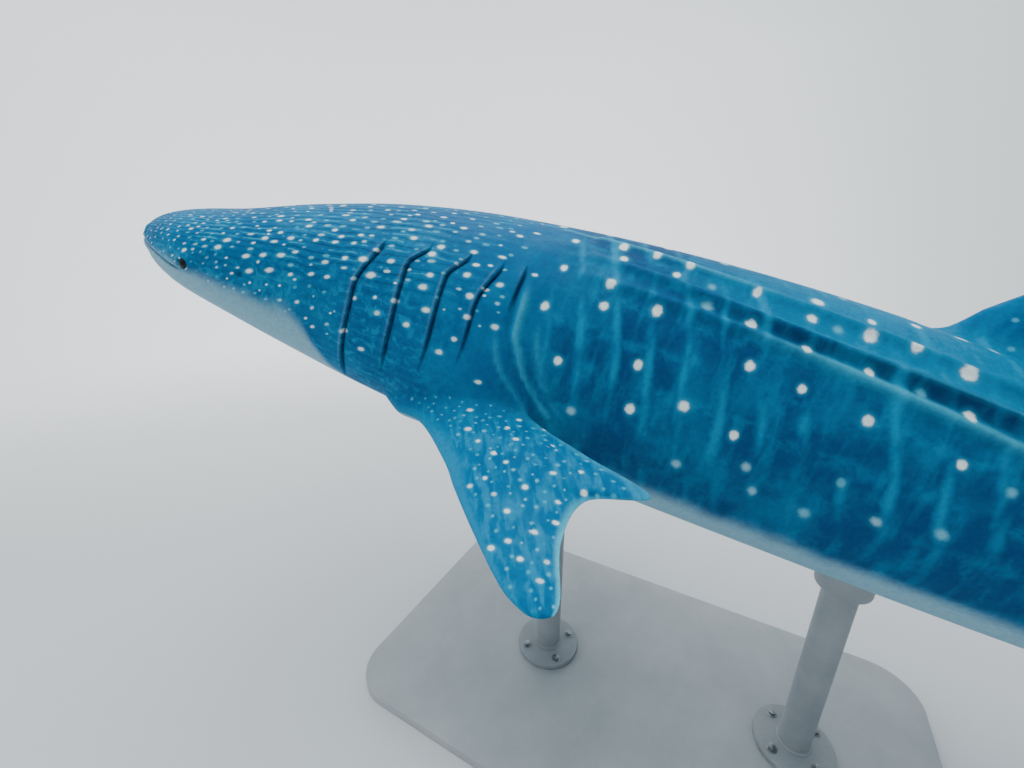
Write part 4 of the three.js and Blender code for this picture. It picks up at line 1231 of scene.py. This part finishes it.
    patches = addNode(tree, "MapRange", smooth, Value=mottle, From_Min=0.42, From_Max=0.66)[0]
    colour = addNode(tree, "Mix", blend, i0=onTrunk, i6=linear(hide["slate"]), i7=linear(hide["dark"]))[2]
    # among these layers: painted shade in a band under the middle ridge, a painted lit back above it, and
    # painted highlights on the ridge crests and folds
    layers = [
        (patches, "teal", 0.26), (finGround, "slate", 0.3), (darkRows, "night", 1.0),
        (paintedShadeBand, "night", 0.45), (litBack, "teal", 0.45), (brush, "teal", 0.5), (frames, "teal", 0.66),
        (streaks, "teal", 0.7), (dabs, "teal", 1.0), (paleRows, "pale", 0.8), (paintedCrestHighlight, "pale", 0.5),
        (halo, "pale", 0.8), (rearBand, "pale", 0.9),
    ]
    for share, tint, strength in layers:
        share = addNode(tree, "Math", times, i0=share, i1=strength)[0]
        colour = addNode(tree, "Mix", blend, i0=share, i6=colour, i7=linear(hide[tint]))[2]
    bellyWave = addNode(tree, "Math", timesPlus, i0=mottle, i1=0.7, i2=-0.35)[0]
    bellyShare = addNode(tree, "Math", plus, i0=belly, i1=bellyWave)[0]
    bellyShare = addNode(tree, "MapRange", smooth, Value=bellyShare, From_Min=0.12, From_Max=0.98)[0]
    colour = addNode(tree, "Mix", blend, i0=bellyShare, i6=colour, i7=linear(hide["belly"]))[2]
    spotShare = addNode(tree, "MapRange", Value=belly, From_Min=0.9, From_Max=0.3)[0]
    spotShare = addNode(tree, "Math", times, i0=spotShare, i1=core)[0]
    colour = addNode(tree, "Mix", blend, i0=spotShare, i6=colour, i7=spotColour)[2]
    # painted highlights on the gill flaps' edges and the upper lip
    colour = addNode(tree, "Mix", blend, i0=paintedEdgeHighlight, i6=colour, i7=linear(hide["spot"]))[2]
    shade = addNode(tree, "MapRange", Value=fine, From_Min=0.3, From_Max=0.7, To_Min=0.88,
                    To_Max=1.1)[0]
    colour = addNode(tree, "Mix", {**blend, "blend_type": "MULTIPLY"}, i0=1.0, i6=colour, i7=shade)[2]
    # painted shade darkens the sunk slits, mouth and pits of the head
    creaseShadeShare = addNode(tree, "MapRange", smooth, Value=creaseShade, From_Min=0.05, From_Max=0.9, To_Max=0.85)[0]
    colour = addNode(tree, "Mix", blend, i0=creaseShadeShare, i6=colour, i7=linear(hide["creaseShade"]))[2]

    denticles = addNode(tree, "TexVoronoi", Vector=where, Scale=1 / hide["denticle"])["Distance"]
    bump = addNode(tree, "Bump", Strength=0.12, Distance=0.0012, Height=denticles)[0]
    wrinkles = addNode(tree, "TexNoise", Vector=where, Scale=hide["wrinkles"], Detail=4.0, Roughness=0.62,
                       Distortion=0.8)[0]
    bump = addNode(tree, "Bump", Strength=0.3, Distance=0.005, Height=wrinkles, Normal=bump)[0]
    roughness = addNode(tree, "MapRange", Value=blotches, From_Min=0.3, From_Max=0.7,
                        To_Min=hide["roughness"] - 0.08, To_Max=hide["roughness"] + 0.08)[0]
    shader = addNode(tree, "BsdfPrincipled", Base_Color=colour, Roughness=roughness, Normal=bump,
                     IOR=1.45, Specular_IOR_Level=0.09)[0]
    addNode(tree, "OutputMaterial", Surface=shader)
    return material


skin.data.materials.append(hideMaterial())
activate(skin)
bpy.ops.object.shade_smooth()
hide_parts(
    "head", "gill_region", "trunk_front", "trunk_rear", "tail_stock", "caudal_upper_lobe",
    "caudal_lower_lobe", "first_dorsal_fin", "second_dorsal_fin", "anal_fin", "pectoral_fin_left",
    "pectoral_fin_right", "pelvic_fin_left", "pelvic_fin_right",
)
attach(skin, "root")
print("hide painted")

eyes = {
    "radius": 0.024, "sunk": 0.009, "cornea": 0.0025, "corneaWidth": 0.012,
    "pupil": 0.0075, "pupilRim": 0.0012, "iris": 0.0140, "irisRim": 0.0025,
    "fibres": 420.0,  # of the iris, to the metre
    "dark": "#030507", "irisDark": "#05090c", "irisPale": "#16232a", "white": "#0e1a20",
}


def eyeMaterial():
    # a fish's eye: glass-clear cornea, so very glossy, over a grey iris and a round black pupil
    material, tree = newMaterial("eyeCornea")
    away = addNode(tree, "Attribute", {"attribute_name": "pupilAway"})["Fac"]
    where = addNode(tree, "TexCoord")["Object"]
    grain = addNode(tree, "TexNoise", Vector=where, Scale=eyes["fibres"], Detail=4.0)[0]
    iris = addNode(tree, "Mix", {"data_type": "RGBA"}, i0=grain, i6=linear(eyes["irisDark"]),
                   i7=linear(eyes["irisPale"]))[2]
    smooth = {"interpolation_type": "SMOOTHSTEP"}
    inIris = addNode(tree, "MapRange", smooth, Value=away, From_Min=eyes["pupil"],
                     From_Max=eyes["pupil"] + eyes["pupilRim"])[0]
    colour = addNode(tree, "Mix", {"data_type": "RGBA"}, i0=inIris, i6=linear(eyes["dark"]), i7=iris)[2]
    past = addNode(tree, "MapRange", smooth, Value=away, From_Min=eyes["iris"],
                   From_Max=eyes["iris"] + eyes["irisRim"])[0]
    colour = addNode(tree, "Mix", {"data_type": "RGBA"}, i0=past, i6=colour, i7=linear(eyes["white"]))[2]
    bump = addNode(tree, "Bump", Strength=0.05, Distance=0.0004, Height=grain)[0]
    roughness = addNode(tree, "MapRange", Value=grain, To_Min=0.05, To_Max=0.1)[0]
    shader = addNode(tree, "BsdfPrincipled", Base_Color=colour, Roughness=roughness, Normal=bump,
                     IOR=1.38, Specular_IOR_Level=0.3, Coat_Weight=0.25, Coat_Roughness=0.04)[0]
    addNode(tree, "OutputMaterial", Surface=shader)
    return material


cornea = eyeMaterial()
for name, handed in (("eye_left", 1), ("eye_right", -1)):
    at, turn = headDetails["eye"]["at"], handed * headDetails["eye"]["angle"]
    outward, tailward = outwards(np.array([at]), np.array([turn]))
    middle = Vector(barePoint(np.array([at]), np.array([turn]))[0]) - Vector(outward[0]) * eyes["sunk"]
    deselectAll()
    bpy.ops.mesh.primitive_uv_sphere_add(segments=48, ring_count=32, radius=eyes["radius"])
    eye = bpy.context.object
    eye.name = "eyeLeft" if handed > 0 else "eyeRight"
    ball = coordinates(eye.data)
    fromAxis = np.hypot(ball[:, 0], ball[:, 1])
    front = ball[:, 2] > 0
    ball[:, 2] += np.where(front, eyes["cornea"] * bell(fromAxis / eyes["corneaWidth"]), 0)
    eye.data.vertices.foreach_set("co", ball.astype(np.float32).ravel())
    pupilAway = eye.data.attributes.new("pupilAway", "FLOAT", "POINT")
    pupilAway.data.foreach_set("value", np.where(front, fromAxis, 0.05).astype(np.float32))
    facing = Vector((0, 0, 1)).rotation_difference(Vector(outward[0])).to_matrix().to_4x4()
    eye.data.transform(posed @ Matrix.Translation(middle) @ facing)
    eye.data.materials.append(cornea)
    activate(eye)
    bpy.ops.object.shade_smooth()
    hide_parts(name)
    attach(eye, "root")
print("eyes set")

stand = {
    "corner": 0.22, "cornerSegments": 14, "edge": 0.008,
    "rodSides": 72, "plateSides": 96, "weld": 0.009, "weldSides": 10,
    "footEdge": 0.006, "collarEdge": 0.009, "collarBlank": 0.2,
    "bolts": 4, "boltCircle": 0.128, "boltHead": 0.017, "boltHeight": 0.010, "boltEdge": 0.0012,
    "washer": 0.024, "washerHeight": 0.003, "washerSides": 40,
    "dust": 3.5, "scuffs": 70.0, "boltGrain": 300.0,  # patches, scuffs and brush marks to the metre
    "paint": "#858c91", "paintPale": "#9aa1a6", "base": "#a3a9ad", "basePale": "#b4babd", "bolt": "#9ba0a3",
}


def paintMaterial(name, dark, pale, peel):
    # powder-coated steel: baked plastic film, satin, with a fine orange peel and faint dust and scuffs
    material, tree = newMaterial(name)
    where = addNode(tree, "TexCoord")["Object"]
    dust = addNode(tree, "TexNoise", Vector=where, Scale=stand["dust"], Detail=6.0, Roughness=0.65)[0]
    scuffs = addNode(tree, "TexNoise", Vector=where, Scale=stand["scuffs"], Detail=3.0, Distortion=1.5)[0]
    share = addNode(tree, "MapRange", Value=dust, From_Min=0.35, From_Max=0.75)[0]
    colour = addNode(tree, "Mix", {"data_type": "RGBA"}, i0=share, i6=linear(dark), i7=linear(pale))[2]
    grain = addNode(tree, "TexVoronoi", {"feature": "SMOOTH_F1"}, Vector=where, Scale=1 / peel)["Distance"]
    bump = addNode(tree, "Bump", Strength=0.15, Distance=0.0006, Height=grain)[0]
    roughness = addNode(tree, "MapRange", Value=scuffs, From_Min=0.35, From_Max=0.7, To_Min=0.38,
                        To_Max=0.55)[0]
    shader = addNode(tree, "BsdfPrincipled", Base_Color=colour, Roughness=roughness, Normal=bump,
                     IOR=1.5, Metallic=0.0)[0]
    addNode(tree, "OutputMaterial", Surface=shader)
    return material


def boltMaterial():
    # zinc-plated steel: pale bright metal, lightly brushed by its making
    material, tree = newMaterial("zincPlatedSteel")
    where = addNode(tree, "TexCoord")["Object"]
    grain = addNode(tree, "TexNoise", Vector=where, Scale=stand["boltGrain"], Detail=4.0)[0]
    pale = linear(stand["bolt"])
    dull = [0.6 * c for c in pale[:3]] + [1]
    colour = addNode(tree, "Mix", {"data_type": "RGBA"}, i0=grain, i6=dull, i7=pale)[2]
    bump = addNode(tree, "Bump", Strength=0.1, Distance=0.0003, Height=grain)[0]
    roughness = addNode(tree, "MapRange", Value=grain, To_Min=0.25, To_Max=0.42)[0]
    shader = addNode(tree, "BsdfPrincipled", Base_Color=colour, Roughness=roughness, Normal=bump,
                     Metallic=1.0)[0]
    addNode(tree, "OutputMaterial", Surface=shader)
    return material


rodPaint = paintMaterial("powderCoatedSteel", stand["paint"], stand["paintPale"], 0.004)
basePaint = paintMaterial("paintedBasePlate", stand["base"], stand["basePale"], 0.005)
zinc = boltMaterial()


def softenEdges(piece, width, segments):
    bevel = piece.modifiers.new("edges", "BEVEL")
    bevel.width, bevel.segments, bevel.limit_method = width, segments, "ANGLE"
    bpy.ops.object.modifier_apply(modifier=bevel.name)


def placed(piece, name, material, *nodes):
    # its place goes into its mesh, then it stands for its nodes and rides with them
    piece.name = name
    activate(piece)
    bpy.ops.object.transform_apply(location=True, rotation=True, scale=True)
    piece.data.materials.clear()
    piece.data.materials.append(material)
    bpy.ops.object.shade_smooth_by_angle(angle=math.radians(35))
    if nodes:
        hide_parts(*nodes)
    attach(piece, "root")
    return piece


# the base: a sheet with rounded corners, drawn up to its height and eased along its rims
low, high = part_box("stand_base")
deselectAll()
bpy.ops.mesh.primitive_plane_add(size=1, location=((low.x + high.x) / 2, (low.y + high.y) / 2, low.z))
basePlate = bpy.context.object
basePlate.scale = (high.x - low.x, high.y - low.y, 1)
bpy.ops.object.transform_apply(location=True, rotation=True, scale=True)
bpy.ops.object.mode_set(mode="EDIT")
bpy.ops.mesh.select_all(action="SELECT")
bpy.ops.mesh.bevel(offset=stand["corner"], segments=stand["cornerSegments"], affect="VERTICES")
bpy.ops.mesh.select_all(action="SELECT")
bpy.ops.mesh.extrude_region_move(TRANSFORM_OT_translate={"value": (0, 0, high.z - low.z)})
bpy.ops.mesh.select_all(action="SELECT")
bpy.ops.mesh.normals_make_consistent(inside=False)
bpy.ops.object.mode_set(mode="OBJECT")
softenEdges(basePlate, stand["edge"], 3)
placed(basePlate, "standBase", basePaint, "stand_base")

for end in ("front", "rear"):
    low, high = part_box(f"stand_foot_{end}")
    middle = (low + high) / 2
    radius = (high.x - low.x) / 2
    deselectAll()
    bpy.ops.mesh.primitive_cylinder_add(vertices=stand["plateSides"], radius=radius, depth=high.z - low.z,
                                        location=middle)
    plate = bpy.context.object
    softenEdges(plate, stand["footEdge"], 3)
    placed(plate, f"standFoot{end.capitalize()}", rodPaint, f"stand_foot_{end}")
    for i in range(stand["bolts"]):
        turn = math.radians(45 + 360 * i / stand["bolts"])
        spotX = middle.x + stand["boltCircle"] * math.cos(turn)
        spotY = middle.y + stand["boltCircle"] * math.sin(turn)
        deselectAll()
        bpy.ops.mesh.primitive_cylinder_add(vertices=stand["washerSides"], radius=stand["washer"],
                                            depth=stand["washerHeight"],
                                            location=(spotX, spotY, high.z + 0.0014))
        washer = bpy.context.object
        headHeight = high.z + stand["washerHeight"] + stand["boltHeight"] / 2
        bpy.ops.mesh.primitive_cylinder_add(vertices=6, radius=stand["boltHead"], depth=stand["boltHeight"],
                                            location=(spotX, spotY, headHeight))
        washer.select_set(True)
        bpy.ops.object.join()
        bolt = bpy.context.object
        softenEdges(bolt, stand["boltEdge"], 2)
        placed(bolt, f"standBolt{end.capitalize()}{i + 1}", zinc)

    low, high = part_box(f"stand_rod_{end}")
    collarLow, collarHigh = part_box(f"stand_collar_{end}")
    deselectAll()
    bpy.ops.mesh.primitive_cylinder_add(vertices=stand["rodSides"], radius=(high.x - low.x) / 2,
                                        depth=high.z - low.z, location=(low + high) / 2)
    shaft = bpy.context.object
    bpy.ops.mesh.primitive_torus_add(major_segments=stand["rodSides"], minor_segments=stand["weldSides"],
                                     major_radius=(high.x - low.x) / 2, minor_radius=stand["weld"],
                                     location=(middle.x, middle.y, low.z + 0.001))
    shaft.select_set(True)
    bpy.context.view_layer.objects.active = shaft
    bpy.ops.object.join()
    placed(bpy.context.object, f"standRod{end.capitalize()}", rodPaint, f"stand_rod_{end}")

    radius = (collarHigh.x - collarLow.x) / 2
    deselectAll()
    blank = stand["collarBlank"]
    bpy.ops.mesh.primitive_cylinder_add(vertices=stand["plateSides"], radius=radius, depth=blank,
                                        location=(middle.x, middle.y, collarLow.z + blank / 2))
    collar = bpy.context.object
    bpy.ops.object.transform_apply(location=True, rotation=True, scale=True)
    softenEdges(collar, stand["collarEdge"], 3)
    cradle = collar.modifiers.new("cradle", "BOOLEAN")
    cradle.operation, cradle.solver, cradle.object = "DIFFERENCE", "MANIFOLD", skin
    bpy.ops.object.modifier_apply(modifier=cradle.name)
    placed(collar, f"standCollar{end.capitalize()}", rodPaint, f"stand_collar_{end}")
print("stand built")

studio = {
    "floorRadius": 11.0, "sweepRadius": 8.0, "sweepSteps": 12, "wallHeight": 9.0,
    "floor": "#e4e8ea", "stipple": 40.0,  # of the paint roller, to the metre
    "world": "#e6eef3", "worldStrength": 0.6,
    "lights": [  # name, place, aimed at, size, watts
        ("keyOverhead", (-1.2, 0.3, 7.2), (0.3, 0.1, 1.4), (7.5, 5.0), 440),
        ("fillCameraSide", (-3.4, -6.5, 2.6), (0.2, 0, 1.4), (4.0, 3.0), 50),
        ("backdropWashLeft", (-7.5, 1.5, 8.5), (-16.0, 6.5, 3.0), (6.0, 4.0), 1500),
        ("backdropWashRight", (-1.5, 7.0, 8.5), (-3.5, 17.0, 3.0), (6.0, 4.0), 1500),
    ],
}


def floorMaterial():
    # painted plaster floor of a studio sweep, rolled on: matt and even
    material, tree = newMaterial("paintedPlaster")
    where = addNode(tree, "TexCoord")["Object"]
    stipple = addNode(tree, "TexNoise", Vector=where, Scale=studio["stipple"], Detail=3.0)[0]
    tint = linear(studio["floor"])
    darker = [0.97 * c for c in tint[:3]] + [1]
    colour = addNode(tree, "Mix", {"data_type": "RGBA"}, i0=stipple, i6=darker, i7=tint)[2]
    bump = addNode(tree, "Bump", Strength=0.05, Distance=0.001, Height=stipple)[0]
    shader = addNode(tree, "BsdfPrincipled", Base_Color=colour, Roughness=0.8, Normal=bump)[0]
    addNode(tree, "OutputMaterial", Surface=shader)
    return material


deselectAll()
bpy.ops.mesh.primitive_circle_add(vertices=128, radius=studio["floorRadius"], fill_type="NGON")
sweep = bpy.context.object
sweep.name = "studioSweep"
bpy.ops.object.mode_set(mode="EDIT")
bpy.ops.mesh.select_mode(type="EDGE")
bpy.ops.mesh.select_all(action="SELECT")
bpy.ops.mesh.region_to_loop()
reach = studio["floorRadius"]
stepTurn = math.radians(90 / studio["sweepSteps"])
for step in range(studio["sweepSteps"]):
    turn = stepTurn * (step + 1)
    newReach = studio["floorRadius"] + studio["sweepRadius"] * math.sin(turn)
    rise = studio["sweepRadius"] * (math.cos(turn - stepTurn) - math.cos(turn))
    bpy.ops.mesh.extrude_edges_move(TRANSFORM_OT_translate={"value": (0, 0, rise)})
    bpy.ops.transform.resize(value=(newReach / reach, newReach / reach, 1))
    reach = newReach
bpy.ops.mesh.extrude_edges_move(TRANSFORM_OT_translate={"value": (0, 0, studio["wallHeight"])})
bpy.ops.object.mode_set(mode="OBJECT")
bpy.ops.object.shade_smooth()
sweep.data.materials.append(floorMaterial())

for name, place, aim, size, watts in studio["lights"]:
    lamp = bpy.data.lights.new(name, "AREA")
    lamp.shape, lamp.size, lamp.size_y, lamp.energy = "RECTANGLE", size[0], size[1], watts
    lampObject = bpy.data.objects.new(name, lamp)
    lampObject.location = place
    lampObject.rotation_euler = (Vector(aim) - Vector(place)).to_track_quat("-Z", "Y").to_euler()
    bpy.context.scene.collection.objects.link(lampObject)
world = bpy.data.worlds.new("studioAir")
world.use_nodes = True
world.node_tree.nodes["Background"].inputs["Color"].default_value = linear(studio["world"])
world.node_tree.nodes["Background"].inputs["Strength"].default_value = studio["worldStrength"]
bpy.context.scene.world = world

camera = bpy.data.cameras.new("photoCamera")
camera.sensor_width, camera.lens = photo["sensor"], photo["lens"]
camera.clip_start, camera.clip_end = 0.05, 100
cameraObject = bpy.data.objects.new("photoCamera", camera)
facing = Matrix((lookRight, lookUp, -lookAlong)).transposed().to_4x4()
cameraObject.matrix_world = Matrix.Translation(photo["at"]) @ facing
bpy.context.scene.collection.objects.link(cameraObject)
bpy.context.scene.camera = cameraObject
print("studio lit")
